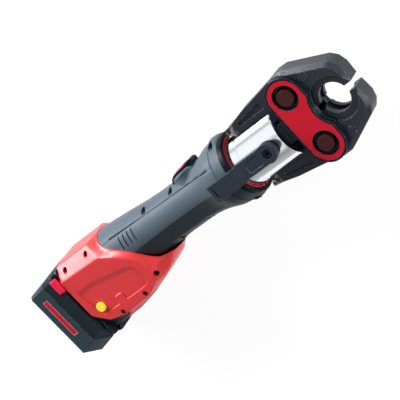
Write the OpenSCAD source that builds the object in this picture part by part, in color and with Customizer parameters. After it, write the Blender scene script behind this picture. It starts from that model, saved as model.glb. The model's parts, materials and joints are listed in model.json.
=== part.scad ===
// Hand-held press tool: battery, motor, gearbox, pump and ram, with a turning head and press jaws.
// The tool lies on its side. +X runs along the tool to the jaws, +Y points to the trigger side
// and +Z points up. The origin is on the battery's flat end, on the axis that the head turns about.

/* [Battery] */
// Height of the battery pack, along the tool
pack_h = 42; // [41:0.5:46]
// Length of a battery cell, from side to side
cell_l = 65; // [60:0.5:70]
// Diameter of a battery cell
cell_d = 18.4; // [18:0.1:18.8]

/* [Rear housing] */
// Width of the rear housing, from side to side
body_w = 72; // [70:0.5:80]
// Wall of the shells
wall = 3; // [2.6:0.1:3.2]

/* [Drive] */
// Length of the motor
motor_l = 60; // [56:0.5:66]
// Length of the hydraulic cylinder behind its flange
cyl_l = 77; // [77:0.5:84]
// Diameter of the piston
piston_d = 30; // [28:0.2:31]
// Module of the gear teeth
tooth_m = 0.75; // [0.74:0.005:0.8]

/* [Grip] */
// From the drive inside to the grip's surface where the hand closes
grip_over = 5.3; // [5:0.1:7]

/* [Head] */
// Diameter of the fork head
head_d = 58; // [57.6:0.1:58.6]
// From the neck's mouth to the jaw pins
head_reach = 92.6; // [92:0.1:96]
// From the locking bolt to the jaw pins
bolt_reach = 45.6; // [45:0.1:46.4]
// Diameter of the locking bolt
bolt_d = 14; // [12:0.2:14.6]

/* [Jaws] */
// Distance between the two jaw pins
pin_pitch = 58; // [57:0.1:60]
// Diameter of the jaw pins
pin_d = 17; // [15:0.1:17.6]
// Diameter that the closed jaws grip
contour_d = 32; // [28:0.1:33]
// From the jaw pins to the middle of the gripped pipe
nip_reach = 36.6; // [36:0.1:40]
// Thickness of the jaws round the mouth
jaw_t = 26; // [24:0.2:28]
// Thickness of the jaws' hubs and arms
hub_t = 15.6; // [15:0.1:15.8]

/* [Travel] */
// Angle that each jaw opens from the photographed pose
jaw_open = 13; // [8:0.5:13]
// Angle that each jaw still closes when it presses
jaw_press = 2.8; // [1:0.1:2.8]
// Ram travel for each degree of a jaw
ram_per_degree = 2.2; // [2.1:0.01:2.24]

/* [Hidden] */
$fn = 64;

// Clearances: between pieces that pass each other, of a shaft in its bore, and of a seated piece
gap = 0.3;
fit = 0.05;
seat = 0.1;
// Overshoot of a cut past the face that it opens
cut = 1;

// Stations along the tool, from the battery's end to the jaws
plate_t = 4;
seat_x = pack_h + gap;
body_x = seat_x + plate_t;
motor_x = body_x + 15.7;
gear_x = motor_x + motor_l;
pump_x = gear_x + 38;
cyl_x = pump_x + 40;
flange_x = cyl_x + cyl_l;
sleeve_x = flange_x + 6;
mouth_x = sleeve_x + 30;
pin_x = mouth_x + head_reach;
bolt_x = pin_x - bolt_reach;
nip_x = pin_x + nip_reach;

// Teeth of the sun, the planets and the ring
sun_teeth = 12;
planet_teeth = 18;
ring_teeth = sun_teeth + 2 * planet_teeth;

// Radii of the drive, the grip, the head and what they hold
ring_r = tooth_m * ring_teeth / 2;
drive_r = ring_r + 3.5;
cyl_r = drive_r - 1.5;
grip_r = drive_r + grip_over;
rear_r = grip_r + 7.2;
head_r = head_d / 2;
sleeve_r = head_r + 3.8;
neck_r = sleeve_r + 4;
collar_r = neck_r - 1.6;
seal_r = head_r + 1.6;
flange_r = sleeve_r - 1.4;
piston_r = piston_d / 2;
rod_r = 9;
motor_r = 19;
shaft_r = 2.5;

// Battery pack: its ends lean with the height, and its corners are cut off
cell_r = cell_d / 2;
cell_count = 4;
cell_pitch = cell_d + 0.2;
pack_wall = 2.5;
pack_w = cell_l + 2 * pack_wall + 6;
pack_l = cell_count * cell_pitch + 25.6;
pack_y1 = 26.5;
pack_y0 = pack_y1 - pack_l;
pack_lean_front = 0.13;
pack_lean_rear = 0.2;
pack_corner = 3;
pack_tail = [15, 25];
pack_split = pack_wall + cell_d + 4.1;
label_y0 = pack_y1 - 62.8;
label_y1 = pack_y1 - 13;
tongue_y = -62;
tongue_w = 40;
tongue_neck = 28;
tongue_x = pack_split + 3.4;
tongue_t = 4.6;
latch_y = 18.3;
latch_l = 17.8;
latch_h = 9;
latch_x = pack_h - 5.6;
latch_face = pack_w / 2 + 0.6;
latch_depth = 11.6;
latch_body = 7.6;
latch_cap = 4.6;
plate_half = latch_face - latch_cap - 3.5;
plate_y0 = -64;
plate_y1 = 32.5;
plate_corner = 6;
nose_y0 = -66;
nose_y1 = -60.5;
nose_half = 20;
contact_y = 8;
contact_places = [-8, 0, 8];

// Rear housing: the flat side panel and the wider waist below its bevels
waist_w = body_w - 28;
body_top = 34.5;
panel_outline = [[0, 19], [70, 17], [113, -9], [114, -33], [81, -48], [38, -50], [16, -46], [0, -30]];
waist_outline = [[0, body_top], [72, body_top], [148, -8], [150, -27], [106, -44], [76, -53], [47, -58],
    [0, -60]];
sunk_outline = [[7, -4], [30, -2.5], [86, -8], [93, -12], [93, -32], [87, -37], [54, -37], [54, -27],
    [43, -27], [43, -37], [16, -37]];
sunk_depth = 1.6;
// Line where the grip ends and the rear housing starts, from the trigger side down
seam_line = [[58, 45], [64, 31], [72, 21], [99, 1], [119, -24], [144, -31.5], [152, -45]];
seam_gap = 0.2;
housing_screw_spots = [[49, 27], [12.4, 26.4], [106, -33.5], [78, -44], [37.4, -46.4]];
housing_boss_r = 4.2;
housing_head_z = 14;
housing_tip_z = -18;
button_spot = [body_x + 19.5, -28];
button_r = 5.4;
board_half = body_w / 2 - 18;

// Grip: trigger and screws
trigger_pin_x = flange_x - 15;
trigger_pin_y = grip_r - 1.2;
trigger_w = 14;
trigger_pin_r = 1.5;
screw_y = grip_r - 3.4;
grip_screw_spots = [[trigger_pin_x - 37.5, screw_y], [cyl_x + 41, -screw_y], [cyl_x - 18, screw_y + 0.8],
    [cyl_x - 4, -screw_y - 0.4]];
neck_boss_r = 3.5;
neck_screw_y = sleeve_r + seat + 2.5;
neck_reach = neck_screw_y + neck_boss_r;
neck_screw_spots = [[mouth_x - 13, neck_screw_y], [mouth_x - 13, -neck_screw_y]];
handle_screw_spots = concat(grip_screw_spots, neck_screw_spots);
screw_r = 1.5;
screw_head_r = 2.6;
screw_head_z = 5.5;

// Gear set
planet_reach = tooth_m * (sun_teeth + planet_teeth) / 2;
gear_t = 11;
mesh_x = gear_x + 5.5;
throw = 1.5;
eccentric_r = 9;

// Fork, side plates and jaw pins
plate_z = hub_t / 2 + 0.4;
side_plate_t = 4.5;
fork_z = plate_z + side_plate_t + 0.4;
label_t = 5.8;
label_z = plate_z + side_plate_t;
slot_x = mouth_x + 4;
cheek_x = bolt_x + 17;
head_x = sleeve_x + gap;
bolt_r = bolt_d / 2;
bolt_seat_z = head_r - 0.8;
pin_r = pin_d / 2;
pin_y = pin_pitch / 2;
pin_half = label_z + label_t + 1.2;
clip_t = 1.3;
pin_pocket_r = 13;
plate_r = 21;
bite_r = 26;
bite_x = nip_x + 3.8;

// Ram and rollers: where they stand in the photographed pose
roller_r = 10.5;
roller_y = roller_r + 0.3;
roller_x = bolt_x - 26.4;
axle_r = 4;
holder_z = fork_z - gap;
holder_web = 6.5;
holder_x = roller_x - roller_r - 0.3 - holder_web;
piston_x = cyl_x + 35.5;
piston_t = 14;
gland_x = cyl_x + cyl_l - 9;

// Jaws
hub_r = 19;
split_y = 3.6;
jaw_edge = 18;
jaw_bevel = 3.5;
groove_r = contour_d / 2 + 3;
counter_r = contour_d / 2 + 8;
press_gap = 1.6;
arm_back = 84.5;
contour_r = contour_d / 2;

// Bolt lever
lever_w = 19;
lever_r = 10.5;
lever_z = bolt_seat_z + 3;
lever_t = 6.2;
lever_lift = neck_reach + 0.4 - lever_z;
lever_end = mouth_x - 28;

// The upper roller's axis as the upper jaw sees it, with the jaw opened by a degrees
function turned(p, a) = [p.x * cos(a) - p.y * sin(a), p.x * sin(a) + p.y * cos(a)];
function seen_from_jaw(p, a) = turned(p - [pin_x, pin_y], -a) + [pin_x, pin_y];
function roller_path(a) = seen_from_jaw([roller_x - ram_per_degree * a, roller_y], a);
function path_way(a) = let (d = roller_path(a + 1) - roller_path(a - 1)) d / norm(d);
function cam_point(a) = roller_path(a) + (roller_r + gap) * [path_way(a).y, -path_way(a).x];

// Plan of the battery pack at a height, as points across the tool and up
function pack_plan(x, inset) = let (
        front = pack_y1 + pack_lean_front * x - inset,
        rear = pack_y0 + pack_lean_rear * x + inset,
        half = pack_w / 2 - inset,
        edge = [[front, half - pack_corner], [front - pack_corner, half], [rear + pack_tail.x, half],
            [rear, half - pack_tail.y]])
    concat(edge, [for (i = [len(edge) - 1:-1:0]) [edge[i].x, -edge[i].y]]);

// Grip radius at a place behind the grip's middle
function rear_radius(x) = rear_r - (rear_r - grip_r) * (x - body_x - 58) / (cyl_x + 8 - body_x - 58);

// Shared shapes

module rod_x(x0, x1, r) {
    translate([x0, 0, 0]) rotate([0, 90, 0]) cylinder(r = r, h = x1 - x0);
}

module tube_x(x0, x1, outer, inner) {
    difference() {
        rod_x(x0, x1, outer);
        rod_x(x0 - cut, x1 + cut, inner);
    }
}

module rod_z(at, z0, z1, r) {
    translate([at.x, at.y, z0]) cylinder(r = r, h = z1 - z0);
}

module turned_x(points) {
    rotate([0, 90, 0]) rotate_extrude() polygon([for (p = points) [p.y, p.x]]);
}

module slab(x0, x1, y0, y1, z0, z1) {
    translate([x0, y0, z0]) cube([x1 - x0, y1 - y0, z1 - z0]);
}

module layer(z0, z1) {
    translate([0, 0, z0]) linear_extrude(z1 - z0) children();
}

module both_sides() {
    for (side = [0, 1]) mirror([0, 0, side]) children();
}

module both_jaws() {
    for (side = [0, 1]) mirror([0, side, 0]) children();
}

module block_x(x0, x1, y0, y1, half_w, r) {
    slab(x0, x1, y0 + r, y1 - r, -half_w, half_w);
    slab(x0, x1, y0, y1, r - half_w, half_w - r);
    for (y = [y0 + r, y1 - r], z = [r - half_w, half_w - r]) translate([0, y, z]) rod_x(x0, x1, r);
}

// A coil along +Z from the origin, as a twisted sector of its ring
module coil(mid_r, wire, length, turns) {
    sector = 360 * wire / (length / turns);
    steps = 6;
    angles = [for (i = [0:steps]) sector * (i / steps - 0.5)];
    linear_extrude(length, twist = -360 * turns, slices = 10 * turns, $fn = 2 * steps + 2)
        polygon(concat([for (a = angles) (mid_r + wire / 2) * [cos(a), sin(a)]],
            [for (i = [steps:-1:0]) (mid_r - wire / 2) * [cos(angles[i]), sin(angles[i])]]));
}

module screw_z(at, head_z, tip_z, head_r, head_h, shank_r) {
    rod_z(at, tip_z, head_z + head_h / 4, shank_r);
    difference() {
        rod_z(at, head_z, head_z + head_h, head_r);
        translate([at.x, at.y, head_z + head_h * 0.45]) cylinder(r = head_r * 0.55, h = head_h, $fn = 6);
    }
}

// Grip shell

module grip_solid() {
    turned_x([[body_x + 58, 0], [body_x + 58, rear_r], [cyl_x + 8, grip_r], [cyl_x + 45, grip_r],
        [flange_x - 14, grip_r + 2.8], [flange_x, flange_r + 2.4], [sleeve_x + 5, neck_r],
        [mouth_x - 0.8, neck_r], [mouth_x, neck_r - 0.8], [mouth_x, 0]]);
}

module grip_hollow() {
    turned_x([[body_x + 57, 0], [body_x + 57, rear_r - wall], [cyl_x + 8, grip_r - wall],
        [flange_x - seat, grip_r - wall], [flange_x - seat, flange_r + seat], [sleeve_x, flange_r + seat],
        [sleeve_x, sleeve_r + seat], [mouth_x - 3, sleeve_r + seat], [mouth_x - 3, collar_r + seat],
        [mouth_x + cut, collar_r + seat], [mouth_x + cut, 0]]);
}

module grip_ribs() {
    for (x = [pump_x + 8, pump_x + 30]) tube_x(x, x + 3, rear_radius(x + 3) - wall + 0.5, drive_r + seat);
    for (x = [cyl_x + 22.4, flange_x - 6]) tube_x(x, x + 3, grip_r - wall + 0.5, cyl_r + seat);
}

module grip_bosses() {
    intersection() {
        for (spot = grip_screw_spots) rod_z(spot, -neck_r, neck_r, screw_head_r + 0.9);
        difference() {
            grip_solid();
            rod_x(0, flange_x, drive_r + seat);
        }
    }
    intersection() {
        for (spot = neck_screw_spots) rod_z(spot, -12, 12, neck_boss_r);
        tube_x(sleeve_x + cut, mouth_x - cut, neck_reach, sleeve_r + seat);
    }
}

module trigger_opening() {
    slab(trigger_pin_x - 33.2, trigger_pin_x + 6.3, 0, neck_r, -trigger_w / 2 - 0.4, trigger_w / 2 + 0.4);
}

module grip_vents() {
    for (i = [0:3]) translate([gear_x + 22.4 + 7.4 * i, 13, drive_r])
        rotate([0, 0, 94]) slab(-7.5, 7.5, -0.7, 0.7, 0, rear_r);
}

module seam_side() {
    polygon(concat([for (p = seam_line) [body_x + p.x + seam_gap, p.y]],
        [[mouth_x + cut, -45], [mouth_x + cut, 45]]));
}

module handle_half(side) {
    intersection() {
        difference() {
            union() {
                difference() {
                    grip_solid();
                    grip_hollow();
                }
                grip_ribs();
                grip_bosses();
            }
            trigger_opening();
            rod_z([trigger_pin_x, trigger_pin_y], -11, 11, trigger_pin_r + 0.02);
            for (spot = handle_screw_spots) {
                rod_z(spot, -10, neck_r, screw_r + 0.02);
                rod_z(spot, screw_head_z, neck_r, screw_head_r + 0.15);
            }
            grip_vents();
        }
        layer(side > 0 ? 0 : -neck_r - cut, side > 0 ? neck_r + cut : 0) seam_side();
    }
}

module handle_top() { color("DarkSlateGray") handle_half(1); }

module handle_bottom() { color("DarkSlateGray") handle_half(-1); }

module handle_screws() {
    color("Silver") for (spot = handle_screw_spots)
        screw_z(spot, screw_head_z, -9.5, screw_head_r, 2.6, screw_r);
}

// Rear housing

module body_outline(points, inset) {
    translate([body_x, 0]) offset(delta = -inset) polygon(points);
}

module body_solid(inset) {
    hull() {
        layer(inset - body_w / 2, body_w / 2 - inset) body_outline(panel_outline, inset);
        layer(inset - waist_w / 2, waist_w / 2 - inset) body_outline(waist_outline, inset);
    }
}

module body_bosses() {
    for (spot = housing_screw_spots)
        rod_z([body_x + spot.x, spot.y], -body_w / 2, body_w / 2, housing_boss_r);
}

module motor_ribs() {
    for (x = [motor_x + 17, motor_x + motor_l - 12]) difference() {
        slab(x, x + 3, -31, body_top, -body_w / 2, body_w / 2);
        rod_x(x - cut, x + 3 + cut, motor_r + seat);
        slab(x - cut, x + 3 + cut, -34, -26, -board_half - seat, board_half + seat);
    }
}

module board_rails() {
    both_sides() for (x = [motor_x + 22, gear_x + 2]) difference() {
        slab(x, x + 4, -37, -29, board_half - 4, body_w / 2);
        slab(x - cut, x + 4 + cut, -34.7, -32.9, 0, board_half + seat);
    }
}

module seam_wall() {
    layer(-body_w, body_w) difference() {
        translate([-wall - seam_gap, 0]) seam_side();
        seam_side();
    }
}

module button_guide() {
    difference() {
        union() {
            rod_z(button_spot, body_w / 2 - 6, body_w / 2 - 1, button_r + 2.4);
            for (x = [-9.5, 9.5]) rod_z(button_spot + [x, 0], body_w / 2 - 16, body_w / 2 - 1, 1.8);
        }
        rod_z(button_spot, 0, body_w / 2 - 4, button_r + 1.6);
    }
}

module housing_half(side) {
    intersection() {
        difference() {
            union() {
                difference() {
                    body_solid(0);
                    body_solid(wall);
                    slab(body_x - cut, body_x + wall + cut, -52, 27, -16, 16);
                }
                intersection() {
                    body_solid(0.5);
                    union() {
                        body_bosses();
                        motor_ribs();
                        board_rails();
                        button_guide();
                        seam_wall();
                    }
                }
            }
            layer(body_w / 2 - sunk_depth, body_w) translate([body_x, 0]) polygon(sunk_outline);
            rod_z(button_spot, body_w / 2 - 8, body_w, button_r + gap);
            for (spot = housing_screw_spots) {
                at = [body_x + spot.x, spot.y];
                rod_z(at, -20, body_w, screw_r + 0.22);
                rod_z(at, housing_head_z, body_w, screw_head_r + 0.65);
            }
            layer(-body_w, body_w) translate([-seam_gap, 0]) seam_side();
            rod_x(pump_x - 40, cyl_x, drive_r + seat);
        }
        layer(side > 0 ? 0 : -body_w, side > 0 ? body_w : 0)
            translate([0, -2 * body_w]) square([mouth_x, 4 * body_w]);
    }
}

module housing_top() { color("Crimson") housing_half(1); }

module housing_bottom() { color("Crimson") housing_half(-1); }

module housing_screws() {
    color("Silver") for (spot = housing_screw_spots)
        screw_z([body_x + spot.x, spot.y], housing_head_z, housing_tip_z,
            screw_head_r + 0.5, 3, screw_r + 0.2);
}

// Receiver that the battery slides on

module receiver() {
    color("DimGray") difference() {
        union() {
            block_x(seat_x, body_x, plate_y0, plate_y1, plate_half, plate_corner);
            slab(body_x - 0.5, body_x + wall + 3, -51.8, 26.8, -15.8, 15.8);
            slab(tongue_x, seat_x + 0.5, tongue_y, 14, -tongue_neck / 2, tongue_neck / 2);
            slab(tongue_x, tongue_x + tongue_t, tongue_y, 14, -tongue_w / 2, tongue_w / 2);
            block_x(body_x - cut, body_x + 4.5, nose_y0, nose_y1, nose_half, 2);
        }
        slab(body_x + 2, body_x + wall + 4, -48, 23, -12.5, 12.5);
        for (z = contact_places) slab(tongue_x - cut, body_x + 3, -contact_y, contact_y, z - 1.6, z + 1.6);
    }
}

module receiver_contacts() {
    color("Goldenrod") for (z = contact_places)
        slab(tongue_x + 0.4, body_x + 2, seat - contact_y, contact_y - seat, z - 1.5, z + 1.5);
}

// Head bearing

module swivel_sleeve() {
    color("Black") difference() {
        union() {
            rod_x(sleeve_x, mouth_x - 0.5, sleeve_r);
            rod_x(mouth_x - 2.9, mouth_x - 0.4, collar_r);
        }
        rod_x(sleeve_x - cut, mouth_x + cut, head_r + fit);
        rod_x(sleeve_x - cut, sleeve_x + 6.6, head_r + 2.2);
        rod_x(mouth_x - 1.8, mouth_x + cut, seal_r + 0.02);
    }
}

module seal_ring() {
    color("Red") tube_x(mouth_x - 1.8, mouth_x - 0.2, seal_r, head_r + fit);
}

// Hydraulics

module cylinder_body() {
    rod_x(cyl_x, flange_x + 0.5, cyl_r);
    rod_x(flange_x, sleeve_x, flange_r);
}

module cylinder_unit() {
    color("LightSlateGray") difference() {
        cylinder_body();
        rod_x(cyl_x + 4, gland_x, piston_r + fit);
        rod_x(gland_x - cut, sleeve_x + cut, rod_r + fit);
        rod_x(cyl_x - cut, cyl_x + 5, 2);
        slab(trigger_pin_x - 29, trigger_pin_x + 2, cyl_r - 1.4, cyl_r + cut, -8, 8);
    }
}

module oil_bladder() {
    color("DarkOliveGreen") tube_x(cyl_x + 3, cyl_x + 21, cyl_r + 2.4, cyl_r + 0.02);
}

module return_spring() {
    color("Gray") translate([piston_x + piston_t, 0, 0]) rotate([0, 90, 0])
        coil(12, 1.6, gland_x - piston_x - piston_t, 4);
}

module pump_block() {
    color("SlateGray") difference() {
        rod_x(pump_x, cyl_x, drive_r);
        rod_x(pump_x - cut, pump_x + 13, eccentric_r + throw + 1);
        rod_z([pump_x + 6.5, 0], 0, drive_r + cut, 4 + fit);
        rod_z([pump_x + 6.5, 0], drive_r - 5, drive_r + cut, 5.02);
        rod_x(pump_x + 12, cyl_x + cut, 2);
    }
}

module pump_plunger() {
    color("Silver") rod_z([pump_x + 6.5, 0], eccentric_r + throw + gap, drive_r - 5 - gap, 4);
}

module pump_plug() {
    color("DimGray") difference() {
        rod_z([pump_x + 6.5, 0], drive_r - 5, drive_r - 0.8, 5);
        translate([pump_x + 6.5, 0, drive_r - 3]) cylinder(r = 2.4, h = 4, $fn = 6);
    }
}

// Gears

module gear_outline(teeth, tip, root) {
    pitch = 360 / teeth;
    polygon([for (i = [0:teeth - 1], c = [[root, -0.29], [tip, -0.12], [tip, 0.12], [root, 0.29]])
        c[0] * [cos(pitch * (i + c[1])), sin(pitch * (i + c[1]))]]);
}

module gear(teeth, x0, turn) {
    half = tooth_m * teeth / 2;
    translate([x0, 0, 0]) rotate([90, 0, 90]) linear_extrude(gear_t) rotate(turn)
        gear_outline(teeth, half + 0.9 * tooth_m, half - 1.2 * tooth_m);
}

module ring_gear_cut() {
    pitch = 360 / ring_teeth;
    translate([mesh_x - 1, 0, 0]) rotate([90, 0, 90]) linear_extrude(gear_t + 3)
        polygon([for (i = [0:ring_teeth - 1], c = [[-0.9, 0.12], [1.2, 0.28], [1.2, 0.72], [-0.9, 0.88]])
            (ring_r + c[0] * tooth_m) * [cos(pitch * (i + c[1])), sin(pitch * (i + c[1]))]]);
}

module gearbox() {
    color("DarkGray") difference() {
        rod_x(gear_x, pump_x, drive_r);
        rod_x(gear_x - cut, mesh_x, 8);
        ring_gear_cut();
        rod_x(mesh_x + gear_t + 1, pump_x - 13, ring_r - 0.4);
        rod_x(pump_x - 14, pump_x - 4, 13.02);
        rod_x(pump_x - 5, pump_x + cut, eccentric_r + throw + 1);
    }
}

module output_bearing() {
    color("Silver") difference() {
        tube_x(pump_x - 12.9, pump_x - 4.1, 13, 6 + fit);
        tube_x(pump_x - 4.6, pump_x - 4, 11, 8);
    }
}

module planet(i) {
    color("Peru") rotate([120 * i, 0, 0]) translate([0, planet_reach, 0]) difference() {
        gear(planet_teeth, mesh_x, 180 / planet_teeth);
        rod_x(mesh_x - cut, mesh_x + gear_t + cut, shaft_r + fit);
    }
}

module planet_1() { planet(0); }

module planet_2() { planet(1); }

module planet_3() { planet(2); }

module carrier() {
    color("DarkGray") {
        rod_x(mesh_x + gear_t + 1.5, mesh_x + gear_t + 6.5, planet_reach + 4.5);
        for (i = [0:2]) rotate([120 * i, 0, 0]) translate([0, planet_reach, 0])
            rod_x(mesh_x - 0.5, mesh_x + gear_t + 2, shaft_r);
        rod_x(mesh_x + gear_t + 6, pump_x + 1.5, 6);
        translate([0, 0, throw]) rod_x(pump_x + 1, pump_x + 11, eccentric_r);
    }
}

// Motor

module motor_can() {
    color("DimGray") difference() {
        rod_x(motor_x, gear_x, motor_r);
        rod_x(motor_x + 3, gear_x - 3, motor_r - 1.5);
        rod_x(motor_x - cut, gear_x + cut, shaft_r + fit);
        for (a = [45:90:315]) rotate([a, 0, 0])
            slab(motor_x + 4, motor_x + 9, -3, 3, motor_r - 4, motor_r + cut);
    }
}

module motor_magnets() {
    color("DarkSlateBlue") difference() {
        tube_x(motor_x + 9.5, gear_x - 9, motor_r - 1.5, motor_r - 6);
        slab(motor_x, gear_x, -motor_r, motor_r, -4, 4);
    }
}

module motor_rotor() {
    color("Chocolate") difference() {
        union() {
            rod_x(motor_x + 11, gear_x - 12, motor_r - 6.6);
            rod_x(motor_x + 7.5, gear_x - 8, motor_r - 9);
            rod_x(motor_x + 3.5, gear_x - 8, 6);
        }
        for (i = [0:7]) rotate([45 * i, 0, 0])
            slab(motor_x + 10.5, gear_x - 11.5, -1, 1, motor_r - 8.6, motor_r);
        rod_x(motor_x, gear_x, shaft_r + 0.02);
    }
}

module motor_shaft() {
    color("Silver") {
        rod_x(motor_x, mesh_x + gear_t, shaft_r);
        gear(sun_teeth, mesh_x, 0);
    }
}

// Electronics

module circuit_board() {
    color("DarkGreen") {
        slab(motor_x, gear_x + 10, -34.6, -33, -board_half, board_half);
        for (x = [14, 26]) translate([motor_x + x, -33.1, 0]) rotate([-90, 0, 0]) cylinder(r = 5, h = 6.4);
        for (z = [-12, -4, 4, 12]) slab(gear_x - 22, gear_x - 12, -33.1, -28.6, z - 2.5, z + 2.5);
        slab(gear_x - 8, gear_x + 4, -33.1, -30.5, -6, 6);
    }
}

module trigger_switch() {
    color("Black") {
        slab(trigger_pin_x - 28, trigger_pin_x - 3, cyl_r - 1.4, cyl_r - 0.3, -6, 6);
        slab(trigger_pin_x - 24, trigger_pin_x - 13, cyl_r - 0.4, trigger_pin_y - 2.2, -3.5, 3.5);
        slab(trigger_pin_x - 20.5, trigger_pin_x - 17.5, cyl_r, trigger_pin_y - 1.4, -1.5, 1.5);
    }
}

// Trigger and button

module trigger_pin() {
    color("Silver") rod_z([trigger_pin_x, trigger_pin_y], -10.8, 10.8, trigger_pin_r);
}

module trigger_spring() {
    color("Gray") translate([trigger_pin_x - 7.5, cyl_r - 0.3, 0]) rotate([-90, 0, 0])
        coil(2.2, 0.6, trigger_pin_y - cyl_r + 0.7, 4);
}

module trigger() {
    y = trigger_pin_y;
    color("DarkSlateGray") difference() {
        translate([trigger_pin_x, 0]) union() {
            layer(-trigger_w / 2, trigger_w / 2) polygon([[5, y + 1.5], [5, y + 9.5], [2.5, y + 11],
                [-25.5, y + 7.4], [-30.5, y + 4.6], [-32.5, y + 1], [-32.5, y - 1.8], [-1, y - 2.6],
                [3, y - 1.4]]);
            rod_z([0, y], -trigger_w / 2, trigger_w / 2, 3.2);
        }
        slab(trigger_pin_x - 26, trigger_pin_x - 4.5, 0, y + 0.4, -4.6, 4.6);
        rod_z([trigger_pin_x, y], -trigger_w, trigger_w, trigger_pin_r + fit);
        trigger_insert_block(0.02);
    }
}

module trigger_insert_block(grow) {
    translate([trigger_pin_x - 25.5, trigger_pin_y + 7.4, 0]) rotate([0, 0, atan2(3.6, 28)])
        slab(1 - grow, 17 + grow, -1.2 - grow, 0.5, -4.5 - grow, 4.5 + grow);
}

module trigger_insert() { color("Red") trigger_insert_block(0); }

module reset_switch() {
    base_z = body_w / 2 - 17.6;
    color("DarkGreen") {
        translate([button_spot.x, button_spot.y]) slab(-12, 12, -6, 6, base_z, base_z + 1.6);
        translate([button_spot.x, button_spot.y]) slab(-3, 3, -3, 3, base_z + 1.5, base_z + 4.6);
    }
}

module reset_spring() {
    color("Gray") translate([button_spot.x, button_spot.y, body_w / 2 - 16])
        coil(4.7, 0.7, 6.6, 3);
}

module reset_button() {
    color("Yellow") {
        rod_z(button_spot, body_w / 2 - 8, body_w / 2 + 1.6, button_r);
        rod_z(button_spot, body_w / 2 - 9.4, body_w / 2 - 7.9, button_r + 1.2);
    }
}

// Head

module fork_head() {
    color("Gainsboro") difference() {
        turned_x([[head_x, 0], [head_x, head_r], [mouth_x + 13, head_r], [mouth_x + 13.5, head_r - 0.6],
            [mouth_x + 14, head_r], [cheek_x - 1, head_r], [cheek_x, head_r - 1], [cheek_x, 0]]);
        slab(slot_x, cheek_x + cut, -head_d, head_d, -fork_z, fork_z);
        slab(head_x + 3.2, slot_x + cut, 6.7 - head_r, head_r - 6.7, -fork_z - gap, fork_z + gap);
        rod_x(head_x - cut, slot_x, rod_r + 0.4);
        tube_x(head_x + 3, head_x + 6, head_r + cut, head_r - 1.6);
        rod_z([bolt_x, 0], -head_r - cut, head_r + cut, bolt_r + fit);
        rod_z([bolt_x, 0], bolt_seat_z, head_r + cut, lever_r + gap);
        for (y = [-13, 13], z = [-19, 19]) translate([0, y, z]) rod_x(cheek_x - 6, cheek_x + cut, 1.6);
    }
}

module snap_ring() {
    color("Silver") difference() {
        tube_x(head_x + 3.1, head_x + 5.9, head_r + 1.9, head_r - 1.55);
        slab(head_x, head_x + 8, 0, head_d, -3, 3);
    }
}

module lock_bolt() {
    color("DimGray") difference() {
        union() {
            rod_z([bolt_x, 0], 1 - bolt_seat_z, bolt_seat_z + 0.5, bolt_r);
            rod_z([bolt_x, 0], bolt_seat_z, lever_z, lever_r - 0.4);
            rod_z([bolt_x, 0], lever_z - 0.5, lever_z + lever_t - 2.9, 4.5);
        }
        rod_z([bolt_x, 0], lever_z - 6, lever_z + lever_t, 2.02);
    }
}

module lever_screw() {
    color("Black") screw_z([bolt_x, 0], lever_z + lever_t - 2.9, lever_z - 5.5, 5.2, 2.7, 2);
}

module lever_plan() {
    difference() {
        union() {
            translate([lever_end, -lever_w / 2]) square([bolt_x - lever_end, lever_w]);
            translate([bolt_x, 0]) circle(r = lever_r);
        }
        translate([lever_end + 3.5, -lever_w / 2 + 3]) square([2, lever_w - 6]);
    }
}

module lever_side() {
    front = mouth_x + 13;
    rear = mouth_x + 1.5;
    rotate([90, 0, 0]) translate([0, lever_z, -lever_w]) linear_extrude(2 * lever_w)
        polygon([[bolt_x + lever_r + cut, 0.1], [front, 0.1], [rear, lever_lift], [lever_end, lever_lift],
            [lever_end, lever_lift + lever_t], [rear + 2, lever_lift + lever_t], [front + 2, lever_t],
            [bolt_x + lever_r + cut, lever_t]]);
}

module bolt_lever() {
    color("Black") difference() {
        intersection() {
            layer(0, lever_z + lever_lift + 20) lever_plan();
            lever_side();
        }
        rod_z([bolt_x, 0], 0, lever_z + 20, 4.55);
        rod_z([bolt_x, 0], lever_z + lever_t - 3, lever_z + 20, 5.5);
    }
}

// Side plates, labels and pins of the jaw set

module plate_outline(grow) {
    difference() {
        union() {
            for (y = [-pin_y, pin_y]) translate([pin_x, y]) circle(r = plate_r + grow);
            translate([pin_x - plate_r - grow, -pin_y]) square([2 * (plate_r + grow), pin_pitch]);
        }
        translate([bite_x, 0]) circle(r = bite_r - grow);
    }
}

module side_plates() {
    color("DarkSlateGray") both_sides() difference() {
        layer(plate_z, plate_z + side_plate_t) union() {
            plate_outline(0);
            translate([bolt_x, 0]) circle(r = bolt_r + 4.5);
            translate([bolt_x, -bolt_r - 4.5]) square([pin_x - plate_r - bolt_x + 1, bolt_d + 9]);
        }
        for (y = [-pin_y, pin_y]) rod_z([pin_x, y], 0, pin_half, pin_r + 0.02);
        rod_z([bolt_x, 0], 0, pin_half, bolt_r + fit);
    }
}

module label_panels() {
    color("Black") both_sides() difference() {
        layer(label_z, label_z + label_t) plate_outline(0);
        for (y = [-pin_y, pin_y]) rod_z([pin_x, y], 0, pin_half + 5, pin_pocket_r);
        layer(label_z + label_t - 0.8, label_z + label_t + cut) plate_outline(-2.5);
    }
}

module label_faces() {
    color("Red") both_sides() difference() {
        layer(label_z + label_t - 0.8, label_z + label_t - 0.2) plate_outline(-2.6);
        for (y = [-pin_y, pin_y]) rod_z([pin_x, y], 0, pin_half + 5, pin_pocket_r + 0.6);
    }
}

module jaw_pins() {
    color("Sienna") for (y = [-pin_y, pin_y]) difference() {
        rod_z([pin_x, y], -pin_half, pin_half, pin_r);
        both_sides() difference() {
            rod_z([pin_x, y], label_z, label_z + clip_t + 0.1, pin_r + cut);
            rod_z([pin_x, y], 0, pin_half, pin_r - 0.9);
        }
    }
}

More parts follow.
